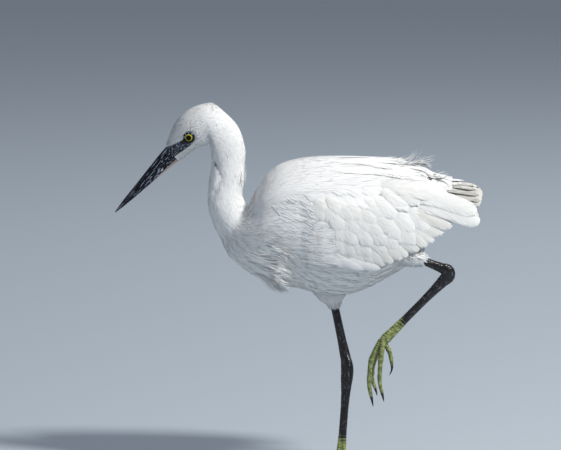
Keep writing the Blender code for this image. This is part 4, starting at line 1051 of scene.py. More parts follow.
# Shoulders: soft, wavy locks that run from the breast's side back over the front of each folded wing.
for side, wing_name in ((-1, "left"), (1, "right")):
    rng = np.random.default_rng(55 if side < 0 else 56)
    count = 2850
    root_x = (-26 + 46 * halton(count, 2, 11)) * MM
    root_z = (224 + 82 * halton(count, 3, 11)) * MM
    root_x = root_x - np.clip((root_z / MM - 262) * 0.12, -4, 6) * MM + 3.5 * MM * np.sin(root_z / MM * 0.37)
    phase = root_z / MM * 0.95 + 2.2 * np.sin(root_x / MM * 0.11) + 1.2 * np.sin(root_z / MM * 0.31)
    ridge = np.sin(phase)
    slope = -22 - 0.42 * (root_z / MM - 262)
    slope = np.clip(slope, -46, 4) + 7 * np.cos(phase) + rng.normal(0, 5, count)
    length = rng.uniform(13, 22, count) * MM
    half = rng.uniform(0.5, 0.95, count) * MM
    tips = (0.8 + 0.35 * ridge + rng.uniform(-0.2, 0.3, count)) * (1 - 0.65 * smooth_step(root_x / (14 * MM))) * MM
    lifts = np.stack((np.full(count, -1.2 * MM), tips * 0.6, tips, tips * rng.uniform(0.5, 1.0, count)), axis=1)
    sections = grow(
        shoulder_bed(side), root_x, root_z, np.radians(slope), length, half, LOCK_FORM, lifts, EDGES, 0.3 * MM,
        bend=np.radians(rng.normal(10, 10, count)),
    )
    roots = trunk_unwrap(root_x, root_z, side)
    piece = feather_mesh(
        "coat_shoulder_" + wing_name, [(sections, rng.uniform(0.3, 1, count), False, roots, 0.003)], white_plumage,
    )
    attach(piece, "root")


# Tail: twelve short, soft feathers in an arched fan, under loose upper-tail coverts. Their darker,
# beige-grey colour is painted shade, and there are shaded slits between them.
def frames_in_air(root, forward, outward, length, sag):
    """Gives points of straight or slightly drooping feathers by share, distance aside and height."""
    aside_way = unit(np.cross(outward, forward))

    def at(share, aside, lift):
        shape = (-1,) + (1,) * (share.ndim - 1)
        along = share * length.reshape(shape)
        lift = lift - sag.reshape(shape) * share ** 2
        wide = (slice(None),) + (None,) * (share.ndim - 1)
        return (
            root[wide] + forward[wide] * along[..., None] + aside_way[wide] * aside[..., None]
            + outward[wide] * lift[..., None]
        )

    return at


TAIL_VANE = np.array([
    (0, 0.4), (0.15, 0.7), (0.4, 0.9), (0.65, 1.0), (0.84, 1.0), (0.93, 0.88), (0.98, 0.62), (1.0, 0.25),
])
# The tail's beige-grey light and dark colours are painted shade on white feathers.
shaded_tail_plumage = plumage_material("shaded_tail_plumage", (0.72, 0.705, 0.66), (0.46, 0.45, 0.41), 0.6)


def tail_frames(turns, start_x, lengths, arch_y, arch_z, slope_low, slope_high, sag):
    """Frames for feathers round the arched tail; a turn is in degrees from the top of the arch."""
    turn = np.radians(turns)
    drop = np.abs(turns) / 90
    root = np.stack((
        np.full(len(turns), start_x), arch_y * np.sin(turn), 289 + arch_z * (np.cos(turn) - 0.15),
    ), axis=-1) * MM
    slope = np.radians(slope_low + (slope_high - slope_low) * drop)
    spread = np.radians(3.0) * np.sin(turn)
    forward = unit(np.stack((np.cos(slope), spread, -np.sin(slope)), axis=-1))
    outward = np.stack((np.sin(slope) * 0.5, np.sin(turn), np.cos(turn)), axis=-1)
    outward = unit(outward - forward * (outward * forward).sum(axis=-1, keepdims=True))
    return frames_in_air(root, forward, outward, lengths * MM, sag * MM), root


rng = np.random.default_rng(61)
parts = []
tail_turns = np.array([-80, -66, -52, -38, -24, -9, 9, 24, 38, 52, 66, 80], float)
tail_length = 47 + 11 * np.sin(math.pi * np.abs(tail_turns) / 90) - 3 * np.abs(tail_turns) / 90
half = np.full(12, 11.4) * MM
at, roots = tail_frames(tail_turns, 131, tail_length + 2.5, 10.0, 15.0, 3, 17, np.full(12, 1.5))
tilt = 0.025 * np.sign(tail_turns)[:, None, None]
spots = trunk_unwrap(roots[:, 0], roots[:, 2], -1)
tone = rng.uniform(0.2, 0.8, 12)
parts.append((vanes(at, half * 0.97, TAIL_VANE, 0.4 * MM, 0.26, tilt, rng), tone, False, spots, 0.003))
loose = barbs(
    at, (tail_length + 2.5) * MM, half, TAIL_VANE, 0.26, tilt[..., None], 90, 0.5 * MM, 0.5 * MM, rng, lift=0.04 * MM,
)
loose_tone = np.clip(np.repeat(tone, 90) + rng.normal(0, 0.35, len(loose)), 0, 1)
parts.append((loose, loose_tone, False, np.repeat(spots, 90, axis=0) + rng.normal(0, 0.006, (len(loose), 2)), 0.003))
ridge = shafts(at, tail_length * MM, TAIL_VANE, half, 0.26, 0.4 * MM, 0.93)
parts.append((ridge, np.full(12, 0.9), False, spots, 0.003))
tail_piece = feather_mesh("tail_feathers", parts, shaded_tail_plumage)
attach(tail_piece, "root")
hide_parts("tail")

parts = []
cover_turns = np.array([-88, -70, -52, -34, -17, 0, 17, 34, 52, 70, 88, -60, -28, 8, 36, 64], float)
cover_length = np.array([26, 30, 33, 37, 40, 42, 40, 37, 33, 30, 26, 20, 24, 26, 24, 20], float)
half = np.full(16, 7.0) * MM
at, roots = tail_frames(cover_turns, 127, cover_length, 13.6, 18.6, 1, 12, np.full(16, 1.0))
spots = trunk_unwrap(roots[:, 0], roots[:, 2], -1)
tone = rng.uniform(0.5, 1.0, 16)
parts.append((vanes(at, half * 0.9, SOFT_VANE, 0.5 * MM, 0.12, 0.0, rng), tone, False, spots, 0.003))
loose = barbs(at, cover_length * MM, half, SOFT_VANE, 0.12, 0.0, 90, 0.55 * MM, 3.2 * MM, rng, open_angle=24)
loose_tone = np.clip(np.repeat(tone, 90) + rng.normal(0, 0.3, len(loose)), 0, 1)
parts.append((loose, loose_tone, False, np.repeat(spots, 90, axis=0) + rng.normal(0, 0.006, (len(loose), 2)), 0.003))
cover_piece = feather_mesh("tail_coverts", parts, white_plumage)
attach(cover_piece, "root")
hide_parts("tail")


# Thighs: feathered to just above the heel, the left one drawn up and back, the right one straight. The
# coat ends in ragged white points where the bare leg comes out.
for name, heel, up, bare, sizes in THIGHS:
    bed = thigh_bed(heel, up, bare, sizes)
    rng = np.random.default_rng(71 if name == "left" else 72)
    count = 3600
    distance = sizes[-1, 0] * rng.uniform(0, 1, count) ** 1.15 + (5.5 if name == "left" else 1.5) * MM
    turn = rng.uniform(-math.pi, math.pi, count)
    share = distance / sizes[-1, 0]
    length = (9 + 6 * share) * rng.uniform(0.6, 1.3, count) * MM
    half = rng.uniform(0.4, 0.7, count) * MM
    strand = np.sin(turn * 13 + 2 * np.sin(distance / MM * 0.21))
    heading = math.pi + np.radians(rng.normal(0, 7, count) + 9 * np.cos(turn * 13 + 2 * np.sin(distance / MM * 0.21)))
    tips = (1.3 + 0.7 * strand + rng.uniform(-0.3, 0.5, count)) * MM
    lifts = np.stack((np.full(count, -0.8 * MM), tips * 0.4, tips * 0.9, tips * rng.uniform(0.6, 1.4, count)), axis=1)
    sections = grow(
        bed, distance, turn, heading, length, half, LOCK_FORM, lifts, EDGES, 0.3 * MM,
        bend=np.radians(rng.normal(0, 12, count)),
    )
    roots = np.stack((0.3 + 0.1 * np.mod(turn, 2 * math.pi) / (2 * math.pi), 0.6 + 0.1 * share), axis=-1)
    groups = [(sections, rng.uniform(0, 1, count), False, roots, 0.003)]
    if name == "left":
        # Loose down of the flank, which hangs over the upper side of the raised leg.
        count = 620
        distance = rng.uniform(14, 52, count) * MM
        turn = rng.uniform(math.pi * 0.42, math.pi * 1.05, count)
        tips = rng.uniform(1.2, 3.6, count) * MM
        sections = grow(
            bed, distance, turn, math.pi + rng.normal(0.36, 0.14, count), rng.uniform(12, 23, count) * MM,
            rng.uniform(0.45, 0.75, count) * MM, LOCK_FORM,
            np.stack((np.full(count, -0.4 * MM), tips * 0.45, tips * 0.85, tips * 1.05), axis=1), EDGES, 0.3 * MM,
            bend=np.radians(rng.normal(0, 12, count)),
        )
        roots = np.stack((0.3 + 0.1 * turn / (2 * math.pi), 0.6 + 0.1 * distance / sizes[-1, 0]), axis=-1)
        groups.append((sections, rng.uniform(0.4, 1, count), False, roots, 0.003))
    coat = feather_mesh("coat_thigh_" + name, groups, white_plumage)
    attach(coat, "root")


# Legs: slim legs in one scaly skin from the feathered thigh to the toes, glossy black, turning
# yellow-green at the foot, with broad plates down the front and rows of small plates on the toes.
LEFT_TOES = LEFT_HEEL + 103 * MM * unit(np.array((-0.699, 0.02, -0.715)))
RIGHT_TOES = np.array((43.0, 5.0, 5.0)) * MM
HEEL_REACH = 10.5 * MM
# Up the shank from the heel joint: share of the way to the thigh, half width and half depth.
SHANK_SIZES = ((0, 4.4, 5.6), (0.25, 3.6, 4.7), (0.6, 3.3, 4.3), (1.0, 3.4, 4.5))
# Down the tarsus from the heel: distance, half width and half depth.
TARSUS_SIZES = (
    (10.5, 4.7, 6.6), (16, 3.9, 5.9), (27, 3.4, 4.9), (42, 3.0, 4.2), (68, 3.0, 4.2), (86, 3.9, 5.0), (97, 5.0, 5.6),
    (102.5, 4.6, 4.6),
)
TOE_SIZES = np.array([
    (0, 1.0), (0.3, 0.88), (0.37, 1.0), (0.44, 0.84), (0.63, 0.78), (0.69, 0.9), (0.75, 0.74), (0.96, 0.62), (1.0, 0.4),
])
RAISED_TOES = (
    ("middle", ((85, 139), (78.5, 127), (74.3, 115.5), (72.6, 93), (75, 79)), (0, -1), 3.5),
    ("outer", ((87, 139.5), (84.4, 119), (83.4, 97), (86, 84)), (-2.6, -8), 3.3),
    ("inner", ((87, 139), (80.5, 123.5), (76.5, 110.5), (76, 97), (79, 87)), (3.2, 9), 3.3),
    ("hind", ((88, 137.5), (94, 125), (96.2, 112)), (1, 1.5), 3.1),
)
STANDING_TOES = (("middle", 180, 56, 3.2), ("outer", 142, 46, 3.1), ("inner", 216, 42, 3.1), ("hind", 8, 24, 3.0))


def smooth_path(points, count):
    """A smooth line through points, at even steps."""
    points = np.asarray(points, float)
    padded = np.concatenate((2 * points[:1] - points[1:2], points, 2 * points[-1:] - points[-2:-1]))
    fine = []
    for i in range(len(points) - 1):
        a, b, c, d = padded[i:i + 4]
        t = np.linspace(0, 1, 24, endpoint=False)[:, None]
        fine.append(b + 0.5 * t * (c - a + t * (2 * a - 5 * b + 4 * c - d + t * (3 * (b - c) + d - a))))
    fine = np.concatenate(fine + [points[-1:]])
    travel = np.concatenate(([0], np.cumsum(np.linalg.norm(np.diff(fine, axis=0), axis=1))))
    even = np.linspace(0, travel[-1], count)
    return np.stack([np.interp(even, travel, fine[:, k]) for k in range(3)], axis=-1)


def limb_frames(path, front_hint):
    """Directions along, to the front and aside at each point of a path."""
    along = unit(np.gradient(path, axis=0))
    front = unit(front_hint - along * (along * front_hint).sum(axis=-1, keepdims=True))
    return along, front, np.cross(along, front)


def limb_points(path, front_hint, wide, deep, sides):
    along, front, aside = limb_frames(path, front_hint)
    turn = np.arange(sides) * 2 * math.pi / sides
    return (
        path[:, None] + aside[:, None] * (wide[:, None] * np.sin(turn))[..., None]
        + front[:, None] * (deep[:, None] * np.cos(turn))[..., None]
    )


def leg_limbs(side):
    """The limbs of one leg: path, way to its front, half widths, half depths, and which kind it is."""
    left = side == "left"
    heel, up, bare = (LEFT_HEEL, LEFT_UP, 33) if left else (RIGHT_HEEL, RIGHT_UP, 69)
    toes = LEFT_TOES if left else RIGHT_TOES
    down = unit(toes - heel)
    front = unit(np.cross(np.array((0.0, -1.0, 0.0)), down))
    front = front if front[0] < 0 else -front
    limbs = []
    reach = np.linspace(0, 1, 60)
    sizes = np.array(SHANK_SIZES)
    shank = heel + up * (HEEL_REACH + (bare * MM + 14 * MM - HEEL_REACH) * reach[:, None])
    limbs.append((shank, front, *(np.interp(reach, sizes[:, 0], sizes[:, k]) * MM for k in (1, 2)), "shank"))
    # The joint turns about the inner corner of the bend, with a rounded knob behind.
    inward = unit(up + down)
    corner = heel + inward * HEEL_REACH / (up * inward).sum()
    first, last = heel + up * HEEL_REACH - corner, heel + down * HEEL_REACH - corner
    turn = math.acos((first * last).sum() / (first * first).sum())
    radius = np.linalg.norm(first)
    share = np.linspace(-0.06, 1.06, 30)[:, None]
    spoke = unit(first * np.sin(turn * (1 - share)) + last * np.sin(turn * share))
    push, bulge = (1.4, 1.4) if left else (0.2, 0.7)
    swell = np.sin(math.pi * np.clip(share, 0, 1))
    joint = corner + spoke * (radius + push * MM * swell)
    share, swell = share[:, 0], swell[:, 0]
    limbs.append((joint, -spoke, (4.3 + 0.3 * share + 0.7 * swell) * MM, (5.5 + share + bulge * swell) * MM, "heel"))
    length = np.linalg.norm(toes - heel)
    sizes = np.array(TARSUS_SIZES)
    reach = np.linspace(HEEL_REACH / MM, length / MM, 110)
    tarsus = heel + down * (reach[:, None] * MM)
    wide, deep = (np.interp(reach, sizes[:, 0], sizes[:, k]) * MM for k in (1, 2))
    limbs.append((tarsus, front, wide, deep, "tarsus"))
    if left:
        for name, path, (near, far), thick in RAISED_TOES:
            path = np.array(path)
            offset = np.linspace(near, far, len(path)) + LEFT_TOES[1] / MM
            line = smooth_path(np.stack((path[:, 0], offset, path[:, 1]), axis=-1) * MM, 60)
            size = np.interp(np.linspace(0, 1, 60), TOE_SIZES[:, 0], TOE_SIZES[:, 1]) * thick * MM
            limbs.append((line, np.array((-0.9, 0, 0.2)) if name != "hind" else np.array((0.9, 0, 0.3)), size, size * 0.95, "toe"))
    else:
        for name, turn, reach, thick in STANDING_TOES:
            way = np.array((math.cos(math.radians(turn)), math.sin(math.radians(turn)), 0.0))
            base = np.array((43.0, 5.0, 0.0))
            rise = np.array((0, 0, 1.0))
            stops = [base + way * 1 + rise * 5.5, base + way * 7 + rise * 4.4, base + way * reach * 0.36 + rise * 3.5,
                     base + way * reach * 0.55 + rise * 2.6, base + way * reach * 0.72 + rise * 3.0, base + way * reach + rise * 1.9]
            line = smooth_path(np.array(stops) * MM, 60)
            size = np.interp(np.linspace(0, 1, 60), TOE_SIZES[:, 0], TOE_SIZES[:, 1]) * thick * MM
            size = np.minimum(size, line[:, 2] - 0.05 * MM)
            limbs.append((line, rise, size, size * 0.98, "toe"))
    return limbs


def leg_material():
    """Glossy scaly skin. The foot attribute runs from black to yellow-green, the seam one darkens furrows, and pale
    streaks along each limb are a painted sheen.
    """
    made = bpy.data.materials.new("leg_scales")
    made.use_nodes = True
    tree = made.node_tree
    shader = tree.nodes["Principled BSDF"]
    foot = tree.nodes.new("ShaderNodeAttribute")
    foot.attribute_name = "foot"
    seam = tree.nodes.new("ShaderNodeAttribute")
    seam.attribute_name = "seam"
    place = tree.nodes.new("ShaderNodeTexCoord")
    mottle = tree.nodes.new("ShaderNodeTexNoise")
    mottle.inputs["Scale"].default_value = 320
    mottle.inputs["Detail"].default_value = 3
    node_link(tree, place.outputs["Object"], mottle.inputs["Vector"])
    black = tree.nodes.new("ShaderNodeValToRGB")
    black.color_ramp.elements[0].position = 0.4
    black.color_ramp.elements[0].color = (0.002, 0.002, 0.003, 1)
    black.color_ramp.elements[1].position = 0.75
    black.color_ramp.elements[1].color = (0.016, 0.012, 0.014, 1)
    node_link(tree, mottle.outputs["Fac"], black.inputs["Fac"])
    # Pale streaks that run along each limb, by the run and turn attributes: a painted sheen added to the black.
    run = tree.nodes.new("ShaderNodeAttribute")
    run.attribute_name = "run"
    turn = tree.nodes.new("ShaderNodeAttribute")
    turn.attribute_name = "turn"
    spot = tree.nodes.new("ShaderNodeCombineXYZ")
    node_link(tree, run.outputs["Fac"], spot.inputs["X"])
    node_link(tree, turn.outputs["Fac"], spot.inputs["Y"])
    painted_highlight_streaks = tree.nodes.new("ShaderNodeTexNoise")
    painted_highlight_streaks.inputs["Scale"].default_value = 1.0
    painted_highlight_streaks.inputs["Detail"].default_value = 3
    node_link(tree, spot.outputs["Vector"], painted_highlight_streaks.inputs["Vector"])
    painted_sheen = tree.nodes.new("ShaderNodeValToRGB")
    painted_sheen.color_ramp.elements[0].position = 0.60
    painted_sheen.color_ramp.elements[0].color = (0, 0, 0, 1)
    painted_sheen.color_ramp.elements[1].position = 0.72
    painted_sheen.color_ramp.elements[1].color = (0.24, 0.22, 0.27, 1)
    node_link(tree, painted_highlight_streaks.outputs["Fac"], painted_sheen.inputs["Fac"])
    black_with_sheen = tree.nodes.new("ShaderNodeMix")
    black_with_sheen.data_type = "RGBA"
    black_with_sheen.blend_type = "ADD"
    black_with_sheen.inputs["Factor"].default_value = 1.0
    node_link(tree, black.outputs["Color"], black_with_sheen.inputs["A"])
    node_link(tree, painted_sheen.outputs["Color"], black_with_sheen.inputs["B"])
    green = tree.nodes.new("ShaderNodeValToRGB")
    green.color_ramp.elements[0].position = 0.35
    green.color_ramp.elements[0].color = (0.15, 0.19, 0.05, 1)
    green.color_ramp.elements[1].position = 0.7
    green.color_ramp.elements[1].color = (0.50, 0.55, 0.20, 1)
    node_link(tree, mottle.outputs["Fac"], green.inputs["Fac"])
    mixed = tree.nodes.new("ShaderNodeMix")
    mixed.data_type = "RGBA"
    node_link(tree, foot.outputs["Fac"], mixed.inputs["Factor"])
    node_link(tree, black_with_sheen.outputs["Result"], mixed.inputs["A"])
    node_link(tree, green.outputs["Color"], mixed.inputs["B"])
    darker = tree.nodes.new("ShaderNodeMix")
    darker.data_type = "RGBA"
    node_link(tree, seam.outputs["Fac"], darker.inputs["Factor"])
    node_link(tree, mixed.outputs["Result"], darker.inputs["A"])
    darker.inputs["B"].default_value = (0.012, 0.014, 0.010, 1)
    node_link(tree, darker.outputs["Result"], shader.inputs["Base Color"])
    shader.inputs["Roughness"].default_value = 0.24
    shader.inputs["Specular IOR Level"].default_value = 0.5
    bump = tree.nodes.new("ShaderNodeBump")
    bump.inputs["Strength"].default_value = 0.5
    bump.inputs["Distance"].default_value = 0.0004
    node_link(tree, mottle.outputs["Fac"], bump.inputs["Height"])
    node_link(tree, bump.outputs["Normal"], shader.inputs["Normal"])
    return made


def one_skin(name, shells, voxel):
    """Joins closed shells into one seamless mesh object."""
    verts, faces = [], []
    for points in shells:
        rows, sides = points.shape[:2]
        base = sum(len(block) for block in verts)
        verts.append(points.reshape(-1, 3))
        for i in range(rows - 1):
            for k in range(sides):
                a = base + i * sides + k
                b = base + i * sides + (k + 1) % sides
                faces.append((a, b, b + sides, a + sides))
        faces.append(tuple(range(base + sides - 1, base - 1, -1)))
        faces.append(tuple(range(base + (rows - 1) * sides, base + rows * sides)))
    mesh = bpy.data.meshes.new(name)
    mesh.from_pydata(np.concatenate(verts).tolist(), [], faces)
    rough = mesh_object(name, mesh, None)
    remesh = rough.modifiers.new("join", "REMESH")
    remesh.mode = "VOXEL"
    remesh.voxel_size = voxel
    smooth = rough.modifiers.new("smooth", "SMOOTH")
    smooth.factor = 0.5
    smooth.iterations = 6
    bpy.context.view_layer.update()
    joined = bpy.data.meshes.new_from_object(rough.evaluated_get(bpy.context.evaluated_depsgraph_get()))
    rough.modifiers.clear()
    rough.data = joined
    bpy.data.meshes.remove(mesh)
    joined.name = name
    joined.shade_smooth()
    return rough


def vertex_array(mesh):
    found = np.empty(len(mesh.vertices) * 3, np.float32)
    mesh.vertices.foreach_get("co", found)
    return found.reshape(-1, 3).astype(float)


def vertex_normals(mesh):
    found = np.empty(len(mesh.vertices) * 3, np.float32)
    mesh.vertex_normals.foreach_get("vector", found)
    return found.reshape(-1, 3).astype(float)


def groove(value, sharp):
    """1 at whole numbers, falling off to both sides."""
    off = np.abs(value - np.round(value))
    return np.exp(-(off * sharp) ** 2)


leg_skin = leg_material()
for side in ("left", "right"):
    limbs = leg_limbs(side)
    leg = one_skin("leg_" + side, [limb_points(*limb[:4], 28) for limb in limbs], 0.45 * MM)
    points = vertex_array(leg.data)
    normals = vertex_normals(leg.data)
    best = np.full(len(points), 1e9)
    seam = np.zeros(len(points))
    foot = np.zeros(len(points))
    unwrap = np.zeros((len(points), 2))
    marks = np.zeros((len(points), 2))
    for number, (path, front_hint, wide, deep, kind) in enumerate(limbs):
        along, front, aside = limb_frames(path, front_hint)
        gap = np.linalg.norm(points[:, None] - path[None], axis=-1)
        nearest = gap.argmin(axis=1)
        off = points - path[nearest]
        closeness = gap[np.arange(len(points)), nearest] - (wide + deep)[nearest] / 2
        travel = np.concatenate(([0], np.cumsum(np.linalg.norm(np.diff(path, axis=0), axis=1)))) / MM
        run = travel[nearest] + (off * along[nearest]).sum(axis=1) / MM
        turn = np.arctan2((off * aside[nearest]).sum(axis=1), (off * front[nearest]).sum(axis=1))
        at_front = smooth_step((np.cos(turn) - 0.25) / 0.3)
        if kind == "heel":
            run = run * 0.8
        if kind == "toe":
            plates = groove(run / 2.4 + 0.12 * np.cos(turn), 4.0) * at_front
            small = np.maximum(groove(run / 1.3 + 0.5 * np.round(turn * 2.2), 3.5), groove(turn * 2.2 + 0.5, 5.0)) * (1 - at_front)
            green_share = np.ones(len(points))
        else:
            plates = groove(run / (3.2 if kind == "tarsus" else 2.6) + 0.25 * np.abs(turn), 8.0) * at_front
            small = np.maximum(groove(run / 1.7 + 0.5 * np.round(turn * 2.0), 4.0), groove(turn * 2.0 + 0.5, 5.0)) * (1 - at_front)
            if kind == "tarsus":
                wave = 3.0 * np.sin(run * 1.9) + 2.5 * np.sin(turn * 2 + 1)
                green_share = smooth_step((run + HEEL_REACH / MM + wave + 3.5 * np.cos(turn) - 70) / 8)
            else:
                green_share = np.zeros(len(points))
        here = closeness < best
        best = np.where(here, closeness, best)
        seam = np.where(here, np.clip(plates + 0.55 * small, 0, 1), seam)
        foot = np.where(here, green_share, foot)
        spot = np.stack((0.02 + 0.03 * number + 0.012 * (turn / math.pi + 1), 0.02 + 0.0016 * run), axis=-1)
        unwrap = np.where(here[:, None], spot, unwrap)
        marks = np.where(here[:, None], np.stack((run * 0.16 + 9 * number, turn * 3.6), axis=-1), marks)
    depth = 0.38 * seam * MM
    moved = points - normals * depth[:, None]
    moved[:, 2] = np.maximum(moved[:, 2], 0.0)
    leg.data.vertices.foreach_set("co", moved.astype(np.float32).ravel())
    leg.data.update()
    leg.data.materials.append(leg_skin)
    add_attribute(leg.data, "seam", seam * (0.5 + 0.45 * foot))
    add_attribute(leg.data, "foot", foot)
    add_attribute(leg.data, "run", marks[:, 0])
    add_attribute(leg.data, "turn", marks[:, 1])
    bake_map(leg.data, np.clip(unwrap, 0, 1))
    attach(leg, "root")
    names = ["shank_", "heel_", "tarsus_", "toe_middle_", "toe_outer_", "toe_inner_", "toe_hind_"]
    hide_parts(*(name + side for name in names))


# Claws: curved, pointed, black horn, one at the end of each toe; the middle toe's is the longest.
horn = plain_material("horn", (0.012, 0.011, 0.012), 0.22)
scratches = horn.node_tree.nodes.new("ShaderNodeTexNoise")
scratches.inputs["Scale"].default_value = 900
scratch_bump = horn.node_tree.nodes.new("ShaderNodeBump")
scratch_bump.inputs["Strength"].default_value = 0.3
scratch_bump.inputs["Distance"].default_value = 0.0001
scratch_place = horn.node_tree.nodes.new("ShaderNodeTexCoord")
node_link(horn.node_tree, scratch_place.outputs["Object"], scratches.inputs["Vector"])
node_link(horn.node_tree, scratches.outputs["Fac"], scratch_bump.inputs["Height"])
node_link(horn.node_tree, scratch_bump.outputs["Normal"], horn.node_tree.nodes["Principled BSDF"].inputs["Normal"])
for side in ("left", "right"):
    toes = leg_limbs(side)[3:]
    for number, name in enumerate(("middle", "outer", "inner", "hind")):
        path = toes[number][0]
        size = toes[number][2][-4]
        along = unit(path[-1] - path[-5])
        low, high = (np.array(corner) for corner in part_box("claw_%s_%s" % (name, side)))
        reach = np.linalg.norm(high - low)
        far = np.where(np.abs(path[-1] - low) > np.abs(path[-1] - high), low, high)
        start = path[-1] - along * 1.6 * MM
        tip = far * 0.97 + (low + high) / 2 * 0.03
        bow = start + along * np.linalg.norm(tip - start) * 0.55
        t = np.linspace(0, 1, 24)[:, None]
        line = (1 - t) ** 2 * start + 2 * t * (1 - t) * bow + t ** 2 * tip
        width = size * 0.72 * (1 - t[:, 0]) ** 0.75 + 0.12 * MM
        hint = np.array((0.1, 0.2, 1.0)) if abs(along[2]) < 0.8 else np.array((-1.0, 0.1, 0.1))
        shape = limb_points(line, hint, width * 0.8, width, 16)
        shape[..., 2] = np.maximum(shape[..., 2], 0.0)
        claw = mesh_from_grid("claw_%s_%s_horn" % (name, side), shape, horn)
        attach(claw, "root")
        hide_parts("claw_%s_%s" % (name, side))


# Bill: a long, straight, pointed dagger of black horn in two halves, with a groove running forward from
# the slit nostril. The lower half's root is bare pale flesh under the chin.
BILL = np.array([
    (-137.6, 337.3, -129.9, 330.0, -123.5, 323.9, 6.8), (-144.5, 329.0, -139.2, 320.8, -134.3, 315.4, 5.2),
    (-152.5, 318.9, -148.6, 311.3, -144.6, 306.8, 4.2), (-162.0, 306.8, -159.2, 300.7, -156.0, 297.0, 3.3),
    (-172.0, 294.1, -170.2, 289.6, -168.0, 286.6, 2.4), (-181.5, 282.1, -180.5, 279.2, -179.4, 277.2, 1.5),
    (-189.5, 271.0, -189.3, 270.4, -189.0, 269.8, 0.45),
]) * MM
BILL_ROWS = 130


def bill_sections(places):
    i = np.clip(np.floor(places).astype(int), 0, len(BILL) - 2)
    t = (places - i)[:, None]
    a, b = BILL[np.maximum(i - 1, 0)], BILL[i]
    c, d = BILL[i + 1], BILL[np.minimum(i + 2, len(BILL) - 1)]
    return b + 0.5 * t * (c - a + t * (2 * a - 5 * b + 4 * c - d + t * (3 * (b - c) + d - a)))


def bill_half(upper):
    """Points of one half of the bill, and its colour marks: how far along, how pale, how deep a furrow, whose painted
    shade darkens the groove and the nostril.
    """
    places = np.linspace(-0.28, len(BILL) - 1, BILL_ROWS)
    rows = bill_sections(np.maximum(places, 0.0))
    inward = np.minimum(places, 0.0)[:, None]
    root_way = BILL[0, :6] - BILL[1, :6]
    rows[:, :6] -= inward * root_way
    rows[:, 6] *= 1 + 0.5 * inward[:, 0]
    edge = np.stack((rows[:, 2], rows[:, 3]), axis=-1)
    ridge = np.stack((rows[:, 0], rows[:, 1]), axis=-1) if upper else np.stack((rows[:, 4], rows[:, 5]), axis=-1)
    span = ridge - edge
    parting = unit(span) * 0.16 * MM
    edge = edge + parting
    span = ridge - edge
    level = np.concatenate((np.linspace(0, 0.12, 3)[:2], np.linspace(0.12, 0.88, 15), (0.95, 0.99)))
    if upper:
        width = (1 - level ** 2.6) ** 0.75
    else:
        width = 0.97 * (1 - level ** 2.3) ** 0.78
    level = np.concatenate((level, [1.0], level[::-1]))
    width = np.concatenate((width, [0.0], -width[::-1]))
    along = places / (len(BILL) - 1)
    furrow = np.zeros((BILL_ROWS, len(level)))
    if upper:
        centre = 0.52 - 0.06 * along
        fade = smooth_step((0.62 - along) / 0.3) * smooth_step((along - 0.0) / 0.05)
        furrow = np.exp(-((level[None, :] - centre[:, None]) / 0.09) ** 2) * fade[:, None]
        nostril_fade = smooth_step((along - 0.055) / 0.02) * smooth_step((0.185 - along) / 0.02)
        nostril = np.exp(-((level[None, :] - centre[:, None]) / 0.06) ** 2) * nostril_fade[:, None]
    else:
        fade = smooth_step((0.75 - along) / 0.3)
        furrow = 0.6 * np.exp(-((level[None, :] - 0.45) / 0.10) ** 2) * fade[:, None]
        nostril = np.zeros_like(furrow)
    half = rows[:, 6][:, None] * width[None, :]
    half = half * (1 - 0.13 * furrow - 0.22 * nostril)
    points = np.stack((
        edge[:, 0][:, None] + span[:, 0][:, None] * level, half, edge[:, 1][:, None] + span[:, 1][:, None] * level,
    ), axis=-1)
    pale = np.zeros_like(furrow)
    if not upper:
        pale = smooth_step((0.48 - along[:, None]) / 0.2) * smooth_step((level[None, :] - 0.52 - 0.6 * along[:, None]) / 0.2)
    return points, np.broadcast_to(along[:, None], furrow.shape), pale, np.clip(furrow * 0.4 + nostril, 0, 1)


